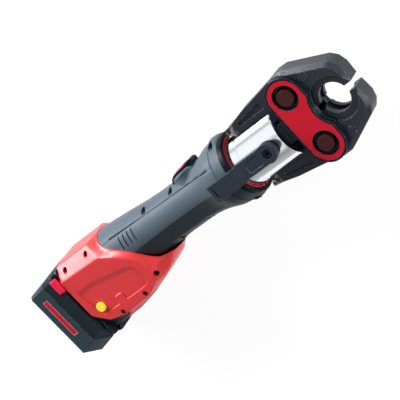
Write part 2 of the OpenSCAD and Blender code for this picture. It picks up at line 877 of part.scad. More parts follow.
module circlip(at) {
    ears = [for (a = [166, 194]) at + (pin_r + 1.6) * [cos(a), sin(a)]];
    difference() {
        union() {
            rod_z(at, label_z, label_z + clip_t, pin_r + 2);
            for (ear = ears) rod_z(ear, label_z, label_z + clip_t, 1.9);
        }
        rod_z(at, 0, pin_half, pin_r - 0.88);
        layer(0, pin_half) translate(at + [-pin_r - 5, -0.8]) square([pin_r, 1.6]);
        for (ear = ears) rod_z(ear, 0, pin_half, 0.8);
    }
}

module circlips() {
    color("Black") both_sides() for (y = [-pin_y, pin_y]) circlip([pin_x, y]);
}

module jaw_spring() {
    strip = 1.2;
    bow_r = 6;
    bow_x = bolt_x + 27;
    leg_x = bolt_x + 9;
    leg_y = 15.2;
    bow = [for (a = [-90:15:90]) [cos(a), sin(a)]];
    color("Gray") layer(-4, 4) polygon(concat(
        [for (p = bow) [bow_x, 0] + bow_r * p],
        [[leg_x, leg_y], [leg_x, leg_y - strip]],
        [for (i = [len(bow) - 1:-1:0]) [bow_x, 0] + (bow_r - strip) * bow[i]],
        [[leg_x, strip - leg_y], [leg_x, -leg_y]]));
}

// Jaws

module arm_outline() {
    tip = pin_x - arm_back;
    toe = cam_point(-jaw_press - 0.6);
    polygon(concat([[pin_x - 10, pin_y - hub_r + 3.2], toe + [2.5, 0.4]],
        [for (a = [-jaw_press - 0.6, -jaw_press / 2, 1, 4, 7]) cam_point(a)],
        [[tip, pin_y + 5.2], [tip, pin_y + 8.2], [tip + 11, pin_y + 9.5], [tip + 30, pin_y + 14],
        [tip + 48, pin_y + 16.5], [tip + 66, pin_y + 19.2], [pin_x - 8, pin_y + 21], [pin_x, pin_y + 20]]));
}

module front_outline() {
    polygon([[pin_x - 8, pin_y + 21], [pin_x + 1, pin_y + 22.8], [pin_x + 12.4, pin_y + 22.2],
        [nip_x + 17, 33.5], [nip_x + 23, 27], [nip_x + 25.6, 18], [nip_x + 24.6, split_y],
        [pin_x + 8, split_y]]);
}

module front_block() {
    hull() {
        layer(-jaw_edge / 2, jaw_edge / 2) front_outline();
        layer(-jaw_t / 2, jaw_t / 2) intersection() {
            front_outline();
            translate([-jaw_bevel, -jaw_bevel]) front_outline();
        }
    }
}

module plate_room() {
    for (y = [-pin_y, pin_y]) translate([pin_x, y]) circle(r = plate_r + 0.5);
    difference() {
        translate([pin_x - plate_r - 20, -pin_y]) square([2 * plate_r + 20 + press_gap, pin_pitch]);
        translate([bite_x, 0]) circle(r = bite_r - press_gap);
    }
}

module mouth_cut() {
    rod_z([nip_x, 0], -jaw_t, jaw_t, contour_r);
    rod_z([nip_x, 0], -5, 5, groove_r);
    both_sides() rod_z([nip_x, 0], jaw_t / 2 - 2.5, jaw_t, counter_r);
}

module jaw() {
    open_bolt = seen_from_jaw([bolt_x, 0], jaw_open);
    color("DimGray") difference() {
        union() {
            difference() {
                front_block();
                both_sides() layer(hub_t / 2, jaw_t) plate_room();
            }
            layer(-hub_t / 2, hub_t / 2) arm_outline();
            rod_z([pin_x, pin_y], -hub_t / 2, hub_t / 2, hub_r);
            both_sides() rod_z([nip_x - 9, 35], 0, jaw_t / 2 + 0.8, 4.6);
        }
        mouth_cut();
        rod_z([pin_x, pin_y], -jaw_t, jaw_t, pin_r + fit);
        rod_z(open_bolt, -jaw_t, jaw_t, bolt_r + 1);
        rod_z([bolt_x, 0], -jaw_t, jaw_t, bolt_r + 1);
        both_sides() layer(hub_t / 2 - 1.6, jaw_t)
            polygon([[pin_x - 66, pin_y + 3], [pin_x - 66, pin_y + 7], [pin_x - 32, pin_y + 11.5],
                [pin_x - 32, pin_y + 3]]);
    }
}

module jaw_upper() { jaw(); }

module jaw_lower() { mirror([0, 1, 0]) jaw(); }

// Ram

module piston_rod() {
    color("Silver") difference() {
        union() {
            rod_x(piston_x, piston_x + piston_t, piston_r);
            rod_x(piston_x + piston_t - 0.5, holder_x + 5, rod_r);
        }
        tube_x(piston_x + 4, piston_x + 8, piston_r + cut, piston_r - 2.5);
    }
}

module roller_holder() {
    color("DarkGray") difference() {
        union() {
            slab(holder_x, holder_x + holder_web, 7.5 - head_r, head_r - 7.5, -holder_z, holder_z);
            both_sides() layer(plate_z, holder_z) {
                for (y = [-roller_y, roller_y]) translate([roller_x, y]) circle(r = 8);
                translate([holder_x + 1, -roller_y - 8]) square([roller_x - holder_x - 1, 2 * roller_y + 16]);
                translate([holder_x + 1, -roller_y]) square([roller_x - holder_x + 7, 2 * roller_y]);
            }
        }
        for (y = [-roller_y, roller_y]) rod_z([roller_x, y], -fork_z, fork_z, axle_r + 0.02);
        rod_x(holder_x - cut, holder_x + 5.02, rod_r + 0.02);
    }
}

module roller_axles() {
    color("Silver") for (y = [-roller_y, roller_y]) rod_z([roller_x, y], -holder_z, holder_z, axle_r);
}

module roller(y) {
    color("LightGray") difference() {
        rod_z([roller_x, y], -hub_t / 2, hub_t / 2, roller_r);
        rod_z([roller_x, y], -hub_t, hub_t, axle_r + fit);
    }
}

module roller_upper() { roller(roller_y); }

module roller_lower() { roller(-roller_y); }

// Battery pack

module pack_block(x0, x1, inset) {
    low = pack_plan(x0, inset);
    high = pack_plan(x1, inset);
    n = len(low);
    polyhedron(
        points = concat([for (p = low) [x0, p.x, p.y]], [for (p = high) [x1, p.x, p.y]]),
        faces = concat([[for (i = [0:n - 1]) i]], [[for (i = [n - 1:-1:0]) n + i]],
            [for (i = [0:n - 1]) [i, n + i, n + (i + 1) % n, (i + 1) % n]]));
}

module pack_lower() {
    color("SlateGray") difference() {
        pack_block(0, pack_split - 0.2, 0);
        pack_block(pack_wall, pack_split + cut, pack_wall);
        slab(8.4, 16.2, label_y0 - 0.2, label_y1 + 0.2, pack_w / 2 - 0.5, pack_w);
    }
}

module pack_upper() {
    lip = pack_split + 3;
    color("DarkSlateGray") difference() {
        pack_block(pack_split, pack_h, 0.8);
        slab(lip, tongue_x + tongue_t + 0.4, pack_y0, 15, -tongue_w / 2 - 0.4, tongue_w / 2 + 0.4);
        slab(lip, pack_h + cut, pack_y0, 15, -tongue_neck / 2 - 0.4, tongue_neck / 2 + 0.4);
        both_sides() latch_room();
    }
}

module latch_room() {
    slab(latch_x - gap, pack_h + cut, latch_y - latch_l / 2 - gap, latch_y + latch_l / 2 + gap,
        latch_face - latch_depth, pack_w);
}

module cells() {
    first_y = pack_y1 - pack_wall - cell_r - gap;
    color("RoyalBlue") for (i = [0:cell_count - 1])
        rod_z([pack_wall + cell_r, first_y - i * cell_pitch], -cell_l / 2, cell_l / 2, cell_r);
}

module pack_label() {
    color("Red") slab(8.6, 16, label_y0, label_y1, pack_w / 2 - 0.5, pack_w / 2 - 0.1);
}

module latch() {
    color("Red") translate([latch_x, latch_y - latch_l / 2, 0]) {
        slab(0, pack_h - latch_x - gap, 0, latch_l, latch_face - latch_body, latch_face);
        slab(0, latch_h, 0, latch_l, latch_face - latch_cap, latch_face);
    }
}

module latch_top() { latch(); }

module latch_bottom() { mirror([0, 0, 1]) latch(); }

module latch_springs() {
    color("Gray") both_sides() translate([latch_x + 2.8, latch_y, latch_face - latch_depth])
        coil(2.6, 0.6, latch_depth - latch_body, 3);
}

handle_top();
handle_bottom();
handle_screws();
housing_top();
housing_bottom();
housing_screws();
receiver();
receiver_contacts();
swivel_sleeve();
seal_ring();
cylinder_unit();  // cylinder
oil_bladder();
return_spring();
pump_block();
pump_plunger();
pump_plug();
gearbox();
output_bearing();
motor_can();
motor_magnets();
motor_rotor();
motor_shaft();
carrier();
planet_1();
planet_2();
planet_3();
circuit_board();
trigger_switch();
trigger_pin();
trigger_spring();
trigger();
trigger_insert();
reset_switch();
reset_spring();
reset_button();
fork_head();
snap_ring();
lock_bolt();
lever_screw();
bolt_lever();
side_plates();
label_panels();
label_faces();
jaw_pins();
circlips();
jaw_spring();
jaw_upper();
jaw_lower();
piston_rod();
roller_holder();
roller_axles();
roller_upper();
roller_lower();
pack_lower();
pack_upper();
cells();
pack_label();
latch_top();
latch_bottom();
latch_springs();
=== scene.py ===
import json
import math
from typing import NamedTuple

import bmesh
import bpy
from bpy.props import FloatProperty, FloatVectorProperty, IntProperty, PointerProperty
from mathutils import Matrix, Vector


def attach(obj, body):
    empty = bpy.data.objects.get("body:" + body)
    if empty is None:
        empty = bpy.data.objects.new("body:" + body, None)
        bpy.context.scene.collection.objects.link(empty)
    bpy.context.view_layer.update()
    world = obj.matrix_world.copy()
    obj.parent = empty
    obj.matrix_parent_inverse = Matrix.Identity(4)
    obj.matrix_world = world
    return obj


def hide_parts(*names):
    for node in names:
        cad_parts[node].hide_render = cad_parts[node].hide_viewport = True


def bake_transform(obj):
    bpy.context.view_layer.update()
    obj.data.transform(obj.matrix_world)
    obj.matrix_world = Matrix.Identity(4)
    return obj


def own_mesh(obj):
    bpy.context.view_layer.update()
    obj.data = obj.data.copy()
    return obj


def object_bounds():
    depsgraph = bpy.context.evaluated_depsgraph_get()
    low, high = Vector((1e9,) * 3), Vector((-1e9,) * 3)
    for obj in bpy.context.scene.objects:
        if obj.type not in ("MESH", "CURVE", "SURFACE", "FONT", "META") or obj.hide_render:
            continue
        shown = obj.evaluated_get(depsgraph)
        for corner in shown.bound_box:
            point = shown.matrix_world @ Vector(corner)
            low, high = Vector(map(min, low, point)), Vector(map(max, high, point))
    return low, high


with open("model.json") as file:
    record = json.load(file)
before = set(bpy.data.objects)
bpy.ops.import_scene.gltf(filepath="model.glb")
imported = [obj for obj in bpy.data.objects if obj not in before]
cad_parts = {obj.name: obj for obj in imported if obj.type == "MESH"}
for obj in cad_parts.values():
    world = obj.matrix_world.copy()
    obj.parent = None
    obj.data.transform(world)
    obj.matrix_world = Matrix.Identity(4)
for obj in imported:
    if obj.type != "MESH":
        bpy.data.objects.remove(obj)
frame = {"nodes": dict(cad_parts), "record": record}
CAD_BOX = [list(corner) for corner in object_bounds()]

bl_info = {
    "name": "Press tool",
    "version": (1, 0, 0),
    "blender": (4, 5, 0),
    "location": "View3D > Sidebar > Press tool",
    "description": "Builds a hand-held press tool's shells, jaws, battery and finishes on its packed frame",
    "category": "Object",
}


class ScrewSet(NamedTuple):
    """Like screws: their places, seat, head and shank radius, shank length and the radius of their holes"""

    spots: tuple
    seat: float
    head: float
    shank: float
    length: float
    hole: float


# Lengths here are in millimetres; a station is a place along the tool, from the battery to the jaws
MM = 0.001
# Points this close are one point, and faces that turn less than this are one face
SAME_PLACE, SAME_PLANE = 0.004, math.radians(0.6)
# Half the gap between the halves of a shell, and a height above every surface, where cutters end
PARTING = 0.06
BEYOND = 50.0
# The jaws' pin on the trigger side, which the other pin mirrors
PIN = Vector((405.6, 29.0))

# Stations of the grip from the rear housing to the neck's ridge, and its radius there
GRIP_PROFILE = ((104, 34.0), (150, 30.6), (185, 27.6), (210, 26.6), (238, 26.6), (256, 28.2), (272, 31.8),
                (282, 34.9), (288.6, 36.0), (296.4, 36.2))
# The grip drops a little just before the neck's ridge, which then rises, and the neck narrows to its lip
NECK_RIDGE, NECK_RADIUS = 296.4, 36.8
DROP, DROP_START, DROP_END = 0.5, NECK_RIDGE - 1.8, NECK_RIDGE - 1.5
RISE, RISE_END = 1.0, NECK_RIDGE + 0.5
NECK_TAPER = 1.4
# The grip ends at its lip; the black band of the head's bush goes on to the mouth
LIP = 307.4
MOUTH = 312.9
SLEEVE_START, SLEEVE_RADIUS = 282.0, 33.2
# The grip's flat below its spine, in degrees from the trigger side, and the stations over which it fades
FLAT_START, FLAT_END = 94.0, 137.0
FADE_START, FADE_END = 258.0, 284.0
# The neck's two ears: their station, reach along the neck, height, and spread in degrees
EAR_STATION, EAR_REACH, EAR_HEIGHT, EAR_SPREAD = 300.4, 6.9, 2.0, 27.0
# Behind the first station the grip's rows of points lean with the seam; then they stand straight
STRAIGHT, FRONT_END = 204.0, NECK_RIDGE - 3.2
REAR_STEPS, FRONT_STEPS = 14, 22
RIDGE_STATIONS = tuple(NECK_RIDGE + step for step in (-1.85, -1.65, -1.5, -0.1, 0.1, 0.3, 0.55, 0.9))
NECK_STATIONS = (298.2, 299.3, 300.4, 301.5, 302.7, 304.0, 305.4, 306.4, 306.8, 307.1, LIP)
# Stations of the fine groove along the grip, how far to the trigger side it runs there, and its section
GROOVE_LINE = ((108, 23.4), (176, 20.9), (240, 19.3), (270, 19.8), (294.4, 20.5))
GROOVE_HALF, GROOVE_DEPTH, GROOVE_TOP = 0.22, 0.5, 4.0
# Stations of the raised guard beside the trigger, its half width and its height there
TRIGGER_GUARD = ((233.5, 8.6, 27.6), (236, 11.0, 29.6), (238.5, 13.2, 30.6), (242, 15.4, 31.3),
                 (246, 16.8, 31.6), (249.5, 16.4, 31.8), (252, 14.6, 32.0), (254.5, 12.0, 32.2),
                 (257, 10.2, 32.2), (260, 8.9, 31.4), (263, 8.2, 29.6))
# How deep the guard is rooted, and the steps of its rounded rim against its height and half width
GUARD_ROOT = 1.6
GUARD_RIM = ((-2.0, 0.9), (-0.7, 0.6), (-0.1, -0.4), (0.0, -0.8))
# Corners of the trigger's gap seen from the side, and half its width
TRIGGER_GAP = ((228.8, 10), (268.3, 50))
TRIGGER_GAP_HALF = 7.4
GRIP_SCREWS = ScrewSet(
    ((224.5, 23.4), (241, -23.4), (182, 24.2), (196, -23.8), (300, 35.4), (300, -35.4)),
    seat=5.5, head=2.6, shank=1.5, length=15.0, hole=3.0)
# The grip's screw holes and posts stand at this share of the screws' distance from its middle
HOLE_PULL = 0.975
POST_FOOT, POST_TOP, POST_RADIUS, POST_DEPTH = 0.2, 24.0, 3.9, 14.0
# The vents: size of a slot, place of the first one and its turn in degrees
VENT_SLOT = (13.6, 1.7, 16.0)
FIRST_VENT = (141.6, 13.0, 28.0)
VENT_TURN = 94.0

# Height on the tool's side, and how far along the seam of grip and housing stands there
SEAM_LINE = ((-45, 199), (-31.5, 190.4), (-24, 165.4), (-12, 154.5), (1, 145.4), (12, 131.5), (21, 118.4),
             (31, 110.4), (45, 104.4))
SEAM_GAP = 0.2
# Rear housing seen from the side: the flat panel, the waist below its bevels and the sunk field
BODY_X = 46.3
PANEL = ((0, 19), (70, 17), (113, -9), (114, -33), (81, -48), (38, -50), (16, -46), (0, -30))
WAIST = ((0, 34.5), (72, 34.5), (148, -8), (150, -27), (106, -44), (76, -53), (47, -58), (0, -60))
SUNK = ((7, -7), (30, -6), (86, -15), (93, -19), (93, -32), (87, -37), (54, -37), (54, -27), (43, -27),
        (43, -37), (16, -37))
PANEL_Z = 36.0
SUNK_Z, SUNK_ROUND = 34.7, 3.0
# Corner radii of waist and panel, the housing's side as shares of the way between them and heights, and
# how far the rings on the panel are pulled in
HOUSING_ROUNDS = (2, 5, 6, 5, 5, 5, 4, 2)
HOUSING_SIDE = ((0.0, 8.0), (0.0, 15.0), (0.0, 19.5), (0.02, 21.4), (0.075, 23.1), (0.2, 24.9), (0.35, 27.0),
                (0.5, 29.1), (0.65, 31.2), (0.8, 33.3), (0.9, 34.7), (0.95, 35.35), (0.99, 35.8))
PANEL_RINGS = (0.8, 2.4, 4.4, 6.6, 9.0, 12.0)
# The housing stands this proud of the grip at the seam; a step down to it runs out over a length that
# grows with its height. The grip's radius is read between two stations
PROUD, RUN_OUT, RUN_SHARE = 0.8, 3.0, 0.9
DRAWN_START, DRAWN_END = 104, 280
# The sunk field's slopes: rings, growth of the plain one, length of the long one, where that sets in,
# and where and by what share it gets shorter
SUNK_MIDDLE = Vector((50, -19))
SLOPE_RINGS = 7
SLOPE_GROWTH, LONG_SLOPE = 1.2, 8.0
LONG_SLOPE_LOW, LONG_SLOPE_HIGH = -26, -16
SHORTER_FROM, SHORTER_TO, SHORTER_BY = 84, 93, 0.5
HOUSING_SCREWS = ScrewSet(
    ((95.3, 27), (58.7, 26.4), (152.3, -33.5), (124.3, -44), (83.7, -46.4)),
    seat=14.0, head=3.1, shank=1.7, length=32.0, hole=3.25)
SCREW_HEAD_HEIGHT, SCREW_EDGE = 2.6, 0.25
BUTTON = (65.8, -28.0)
BUTTON_SEAT, BUTTON_HOLE = 20.0, 5.8
# Corners of the gap for the battery's plug, and half its width
PLUG_GAP = ((40, -52), (51, 27))
PLUG_GAP_HALF = 16.0
# The boot lies lower than the red shell by its step, with a gap to it and rounded edges
BOOT_STEP, BOOT_GAP, BOOT_EDGE = 0.5, 0.15, 0.5

# Corners of the battery's strip, its face, and the width, depth and height of its printed line
STRIP = ((8.6, -36.3), (16.0, 13.5))
STRIP_TOP = 37.9
LINE_WIDTH, LINE_DEPTH, LINE_PROUD = 0.55, 0.3, 0.06
# The scoops in the trigger's sides: place seen from the trigger side, radius, and ends before they are turned
SCOOP_AT = (261.0, 13.5)
SCOOP_RADIUS, SCOOP_LOW, SCOOP_HIGH = 10.5, -45, -29.5
# Section of the black band between the grip's lip and the mouth, as stations and radii
BAND_SECTION = ((LIP + 0.15, 32.0), (LIP + 0.15, 36.1), (MOUTH - 1.6, 35.9), (MOUTH - 0.5, 35.4),
                (MOUTH - 0.3, 34.6), (MOUTH - 0.4, 32.0))
# Rings cut out of the chrome head and the red seal: two stations, the radius inside and outside
CHROME_GROOVE = (324.8, 325.7, 28.5, 30.0)
SEAL_GAP = (310, 314, 28.0, 29.85)
# Corners of the bare field on the bolt handle, its corner radius and its floor
LEVER_FIELD = ((331, -6.2), (350, 6.2))
LEVER_FIELD_ROUND, LEVER_FIELD_FLOOR = 1.2, 36.9


class ToolColours(bpy.types.PropertyGroup):
    """Colours of the press tool's finishes"""

    grip: FloatVectorProperty(
        name="Grip", description="Slate grey of the grip", subtype="COLOR",
        default=(0.064, 0.088, 0.108))
    housing: FloatVectorProperty(
        name="Housing", description="Red of the rear housing", subtype="COLOR",
        default=(0.60, 0.030, 0.034))
    pack: FloatVectorProperty(
        name="Battery", description="Dark slate of the battery pack", subtype="COLOR",
        default=(0.030, 0.048, 0.060))
    jaw: FloatVectorProperty(
        name="Jaws", description="Dark grey of the cast jaws", subtype="COLOR",
        default=(0.012, 0.016, 0.024))
    label: FloatVectorProperty(
        name="Label", description="Red of the bare label fields", subtype="COLOR",
        default=(0.47, 0.012, 0.024))
    button: FloatVectorProperty(
        name="Button", description="Yellow of the release button", subtype="COLOR",
        default=(0.93, 0.74, 0.05))


class ToolSizes(bpy.types.PropertyGroup):
    """Sizes that the shells and the vents follow"""

    shell_wall: FloatProperty(
        name="Shell wall", description="Thickness of the moulded shells", unit="LENGTH",
        default=2.6 * MM)
    shell_edge: FloatProperty(
        name="Shell edge", description="Rounding of the moulded shells' edges", unit="LENGTH",
        default=0.7 * MM)
    vent_count: IntProperty(
        name="Vents", description="Number of slots in the grip", default=4, min=1, max=8)
    vent_pitch: FloatProperty(
        name="Vent pitch", description="Distance between the slots", unit="LENGTH",
        default=6.4 * MM)


class StageSettings(bpy.types.PropertyGroup):
    """Camera and light of the studio"""

    camera_place: FloatVectorProperty(
        name="Camera", description="Where the camera stands", subtype="TRANSLATION",
        default=(1.15837, 0.24320, 1.20479))
    camera_turn: FloatVectorProperty(
        name="Camera turn", description="How the camera is turned", subtype="EULER",
        default=(math.radians(-33.10), math.radians(20.749), math.radians(-46.43)))
    lens: FloatProperty(
        name="Lens", description="Focal length on a 36 mm sensor", unit="CAMERA", default=135.0)
    key_power: FloatProperty(
        name="Key light", description="Power of the main soft light", unit="POWER", default=66.0)


# Nodes

def feed(tree, target, value):
    """Gives an input a plain value, or links it to a socket or to a node's first output."""
    if isinstance(value, bpy.types.Node):
        value = value.outputs[0]
    if isinstance(value, bpy.types.NodeSocket):
        tree.links.new(value, target)
    else:
        target.default_value = value


def node(tree, kind, inputs=None, **settings):
    """A new node, with plain settings by attribute and its inputs fed by name or number."""
    made = tree.nodes.new(kind)
    for key, value in settings.items():
        setattr(made, key, value)
    for label, value in (inputs or {}).items():
        feed(tree, made.inputs[label], value)
    return made


def ranged(tree, value, begin, end, low=0.0, high=1.0):
    """The value spread from the range of begin and end to that of low and high."""
    return node(tree, "ShaderNodeMapRange", {
        "Value": value, "From Min": begin, "From Max": end, "To Min": low, "To Max": high})


def math_node(tree, operation, *operands):
    """The result of one Math node."""
    return node(tree, "ShaderNodeMath", dict(enumerate(operands)), operation=operation)


def noise(tree, place, scale, detail):
    """Noise from 0 to 1 at a place."""
    return node(tree, "ShaderNodeTexNoise", {"Vector": place, "Scale": scale, "Detail": detail})


def object_place(tree):
    """The place on the object, which its patterns are fixed to."""
    return node(tree, "ShaderNodeTexCoord").outputs["Object"]


def blended(tree, kind, amount, first, second):
    """A colour mix; each colour is a socket or a plain red, green and blue."""
    first, second = ((*colour, 1.0) if isinstance(colour, tuple) else colour for colour in (first, second))
    mix = node(tree, "ShaderNodeMix", {0: amount, 6: first, 7: second}, data_type="RGBA", blend_type=kind)
    return mix.outputs[2]


# Shared effects

def new_group(name, inputs, outputs):
    """A shader group with named float inputs and outputs, and what its inputs give."""
    group = bpy.data.node_groups.new(name, "ShaderNodeTree")
    for label, default in inputs.items():
        socket = group.interface.new_socket(label, in_out="INPUT", socket_type="NodeSocketFloat")
        socket.default_value = default
    for label in outputs:
        group.interface.new_socket(label, in_out="OUTPUT", socket_type="NodeSocketFloat")
    return group, node(group, "NodeGroupInput").outputs


def grain_group(name):
    """Fine moulded or cast grain, with slow mottling of the colour and the gloss."""
    group, given = new_group(
        name, {"Scale": 1500.0, "Mottle": 0.1, "Gloss Spread": 0.1}, ("Height", "Shade", "Gloss"))
    place = object_place(group)
    fine = noise(group, place, given["Scale"], 2.0)
    slow = noise(group, place, 45.0, 4.0)
    middle = noise(group, place, 260.0, 3.0)
    cloudy = math_node(group, "MULTIPLY", math_node(group, "ADD", slow, middle), 0.5)
    darkest = math_node(group, "SUBTRACT", 1.0, given["Mottle"])
    palest = math_node(group, "ADD", 1.0, given["Mottle"])
    smoothest = math_node(group, "MULTIPLY", given["Gloss Spread"], -1.0)
    node(group, "NodeGroupOutput", {
        "Height": fine,
        "Shade": ranged(group, cloudy, 0.0, 1.0, darkest, palest),
        "Gloss": ranged(group, middle, 0.0, 1.0, smoothest, given["Gloss Spread"])})
    return group


def wear_and_highlight_group(name):
    """A mask of lightened edges, worn by rubbing on some finishes and painted highlight on the black plastics
    and the bolt handle: where a rounded normal leaves the plain one, broken up by noise.
    """
    group, given = new_group(name, {"Edge Width": 0.0007, "Patch Scale": 300.0}, ("Mask",))
    round_edge = node(group, "ShaderNodeBevel", {"Radius": given["Edge Width"]}, samples=4)
    plain = node(group, "ShaderNodeNewGeometry").outputs["Normal"]
    likeness = node(group, "ShaderNodeVectorMath", {0: round_edge, 1: plain}, operation="DOT_PRODUCT")
    sharp = ranged(group, likeness.outputs["Value"], 0.985, 0.90)
    patches = ranged(group, noise(group, object_place(group), given["Patch Scale"], 5.0), 0.42, 0.62)
    node(group, "NodeGroupOutput", {"Mask": math_node(group, "MULTIPLY", sharp, patches)})
    return group


def turning_group(name):
    """Fine rings round an axis along Z, at the same place on both sides of the tool's middle."""
    group, given = new_group(
        name, {"Centre X": PIN.x * MM, "Centre Y": PIN.y * MM, "Pitch": 0.0007}, ("Height", "Shade"))
    place = node(group, "ShaderNodeSeparateXYZ", {0: object_place(group)}).outputs
    along = math_node(group, "SUBTRACT", place["X"], given["Centre X"])
    aside = math_node(group, "SUBTRACT", math_node(group, "ABSOLUTE", place["Y"]), given["Centre Y"])
    squares = [math_node(group, "MULTIPLY", way, way) for way in (along, aside)]
    reach = math_node(group, "SQRT", math_node(group, "ADD", *squares))
    turns = math_node(group, "DIVIDE", reach, given["Pitch"])
    wave = math_node(group, "SINE", math_node(group, "MULTIPLY", turns, math.tau))
    height = math_node(group, "MULTIPLY_ADD", wave, 0.5, 0.5)
    node(group, "NodeGroupOutput", {"Height": height, "Shade": ranged(group, height, 0.0, 1.0, 0.86, 1.1)})
    return group


def worn_end_group(name):
    """A patchy mask of metal rubbed bare beyond a station along the tool."""
    group, given = new_group(name, {"Start": 0.334, "Bare": 0.322}, ("Mask",))
    place = object_place(group)
    along = node(group, "ShaderNodeSeparateXYZ", {0: place}).outputs["X"]
    reach = ranged(group, along, given["Start"], given["Bare"])
    patches = ranged(group, noise(group, place, 210.0, 5.0), 0.44, 0.56)
    node(group, "NodeGroupOutput", {"Mask": math_node(group, "MULTIPLY", reach, patches)})
    return group


GROUPS = {"surface_grain": grain_group, "edge_wear": wear_and_highlight_group, "turning_rings": turning_group,
          "worn_end": worn_end_group}


def grouped(tree, name, **values):
    """What a shared effect gives with its own values; it is built when it is first asked for."""
    group = bpy.data.node_groups.get(name) or GROUPS[name](name)
    inputs = {label.replace("_", " "): value for label, value in values.items()}
    return node(tree, "ShaderNodeGroup", inputs, node_tree=group).outputs


# Finishes

class Look(NamedTuple):
    """A finish: colour or the name of one of the tool's, roughness, grains in a metre, their depth, mottling

    Sheen is the specular level, spread how far the gloss varies, the edge colour that of edges worn by
    rubbing on some finishes and painted highlight on the black plastics and the bolt handle, and worn_end the
    stations in metres where bare metal begins and where all is bare.
    """

    colour: object
    rough: float
    grain: float
    depth: float
    mottle: float
    sheen: float = 0.5
    metal: float = 0.0
    coat: float = 0.0
    spread: float = 0.10
    wear: tuple = ()
    worn_end: tuple = ()
    rings: bool = False


# Looks of the record's material slots, and of the pieces with a shade of their own
LOOKS = {
    "grip_plastic": Look("grip", 0.44, 1500, 0.16, 0.16, sheen=0.12, wear=(0.14, 0.17, 0.19)),
    "red_plastic": Look("housing", 0.34, 1500, 0.03, 0.05, sheen=0.42),
    # The black plastics' and the bolt handle's edge colours are painted highlight: lighter rims where their
    # edges catch the light
    "black_plastic": Look((0.006, 0.009, 0.016), 0.36, 1900, 0.07, 0.12, sheen=0.12,
                          wear=(0.12, 0.135, 0.16)),
    "lever_plastic": Look((0.020, 0.028, 0.040), 0.36, 1900, 0.07, 0.12, sheen=0.14,
                          wear=(0.16, 0.18, 0.21)),
    "yellow_plastic": Look("button", 0.35, 1200, 0.02, 0.05),
    "pack_plastic": Look("pack", 0.44, 1700, 0.09, 0.10, sheen=0.01, wear=(0.12, 0.14, 0.16)),
    "cover_plastic": Look((0.015, 0.022, 0.028), 0.40, 1700, 0.09, 0.10, sheen=0.01,
                          wear=(0.10, 0.12, 0.14)),
    "latch_red": Look((0.72, 0.012, 0.060), 0.36, 1500, 0.03, 0.05, sheen=0.2),
    "red_seal": Look((0.85, 0.018, 0.030), 0.48, 1600, 0.04, 0.08),
    "pale_print": Look((0.62, 0.30, 0.30), 0.40, 900, 0.015, 0.04, sheen=0.06),
    "red_label": Look("label", 0.34, 900, 0.015, 0.04, sheen=0.06),
    "jaw_steel": Look("jaw", 0.40, 900, 0.16, 0.18, sheen=0.30, wear=(0.20, 0.21, 0.24),
                      worn_end=(0.334, 0.322)),
    "pin_steel": Look((0.046, 0.012, 0.011), 0.30, 900, 0.03, 0.15, sheen=0.10, rings=True),
    "polished_steel": Look((0.90, 0.91, 0.92), 0.13, 160, 0.0008, 0.02, metal=1.0, spread=0.02),
    "black_steel": Look((0.005, 0.006, 0.011), 0.36, 1300, 0.05, 0.15, sheen=0.06, wear=(0.10, 0.10, 0.12)),
    "machined_steel": Look((0.56, 0.57, 0.59), 0.28, 700, 0.02, 0.06, metal=1.0),
    "screw_steel": Look((0.035, 0.035, 0.04), 0.45, 900, 0.04, 0.12, metal=0.6),
    "spring_steel": Look((0.40, 0.40, 0.42), 0.30, 1100, 0.03, 0.10, metal=1.0),
    "pump_aluminium": Look((0.66, 0.67, 0.69), 0.40, 800, 0.04, 0.06, metal=1.0),
    "motor_steel": Look((0.40, 0.41, 0.43), 0.35, 700, 0.03, 0.10, metal=1.0),
    "rotor_steel": Look((0.50, 0.25, 0.13), 0.40, 2600, 0.10, 0.30, metal=0.9),
    "magnet": Look((0.08, 0.08, 0.09), 0.60, 1400, 0.08, 0.15),
    "gear_brass": Look((0.50, 0.48, 0.43), 0.38, 1500, 0.05, 0.10, metal=1.0),
    "contact_brass": Look((0.76, 0.56, 0.22), 0.25, 800, 0.02, 0.08, metal=1.0),
    "board_green": Look((0.02, 0.16, 0.06), 0.40, 1100, 0.04, 0.15),
    "cell_sleeve": Look((0.03, 0.12, 0.36), 0.30, 700, 0.02, 0.06, coat=0.3),
    "black_rubber": Look((0.016, 0.016, 0.017), 0.70, 2000, 0.08, 0.12),
}
BARE_METAL = (0.55, 0.56, 0.58)
# How much smoother an edge is under the edge mask, which marks edges worn by rubbing and painted highlight,
# and values that all finishes share
EDGE_SMOOTHING = -0.12
COAT_ROUGHNESS = 0.2
BUMP_STRENGTH = 0.6


def tinted(tree, look):
    """The colour, roughness, metal and height of a look, as sockets or plain values."""
    colour = look.colour
    if isinstance(colour, str):
        colour = tuple(getattr(bpy.context.scene.tool_colours, colour))
    grain = grouped(tree, "surface_grain", Scale=look.grain, Mottle=look.mottle, Gloss_Spread=look.spread)
    shade, height, metal = grain["Shade"], grain["Height"], look.metal
    if look.rings:
        rings = grouped(tree, "turning_rings")
        shade = math_node(tree, "MULTIPLY", shade, rings["Shade"])
        height = math_node(tree, "ADD", height, rings["Height"])
    tint = blended(tree, "MULTIPLY", 1.0, colour, shade)
    rough = math_node(tree, "ADD", grain["Gloss"], look.rough)
    # Edges are lightened here: worn by rubbing on some finishes, painted highlight on the black plastics and
    # the bolt handle
    if look.wear:
        mask = grouped(tree, "edge_wear")["Mask"]
        tint = blended(tree, "MIX", mask, tint, look.wear)
        rough = math_node(tree, "MULTIPLY_ADD", mask, EDGE_SMOOTHING, rough)
    if look.worn_end:
        begin, bare = look.worn_end
        metal = grouped(tree, "worn_end", Start=begin, Bare=bare)["Mask"]
        tint = blended(tree, "MIX", metal, tint, BARE_METAL)
    return tint, rough, metal, height


def new_material(name):
    """An empty material with nodes, its tree and its shader."""
    material = bpy.data.materials.new(name)
    material.use_nodes = True
    return material, material.node_tree, material.node_tree.nodes["Principled BSDF"]


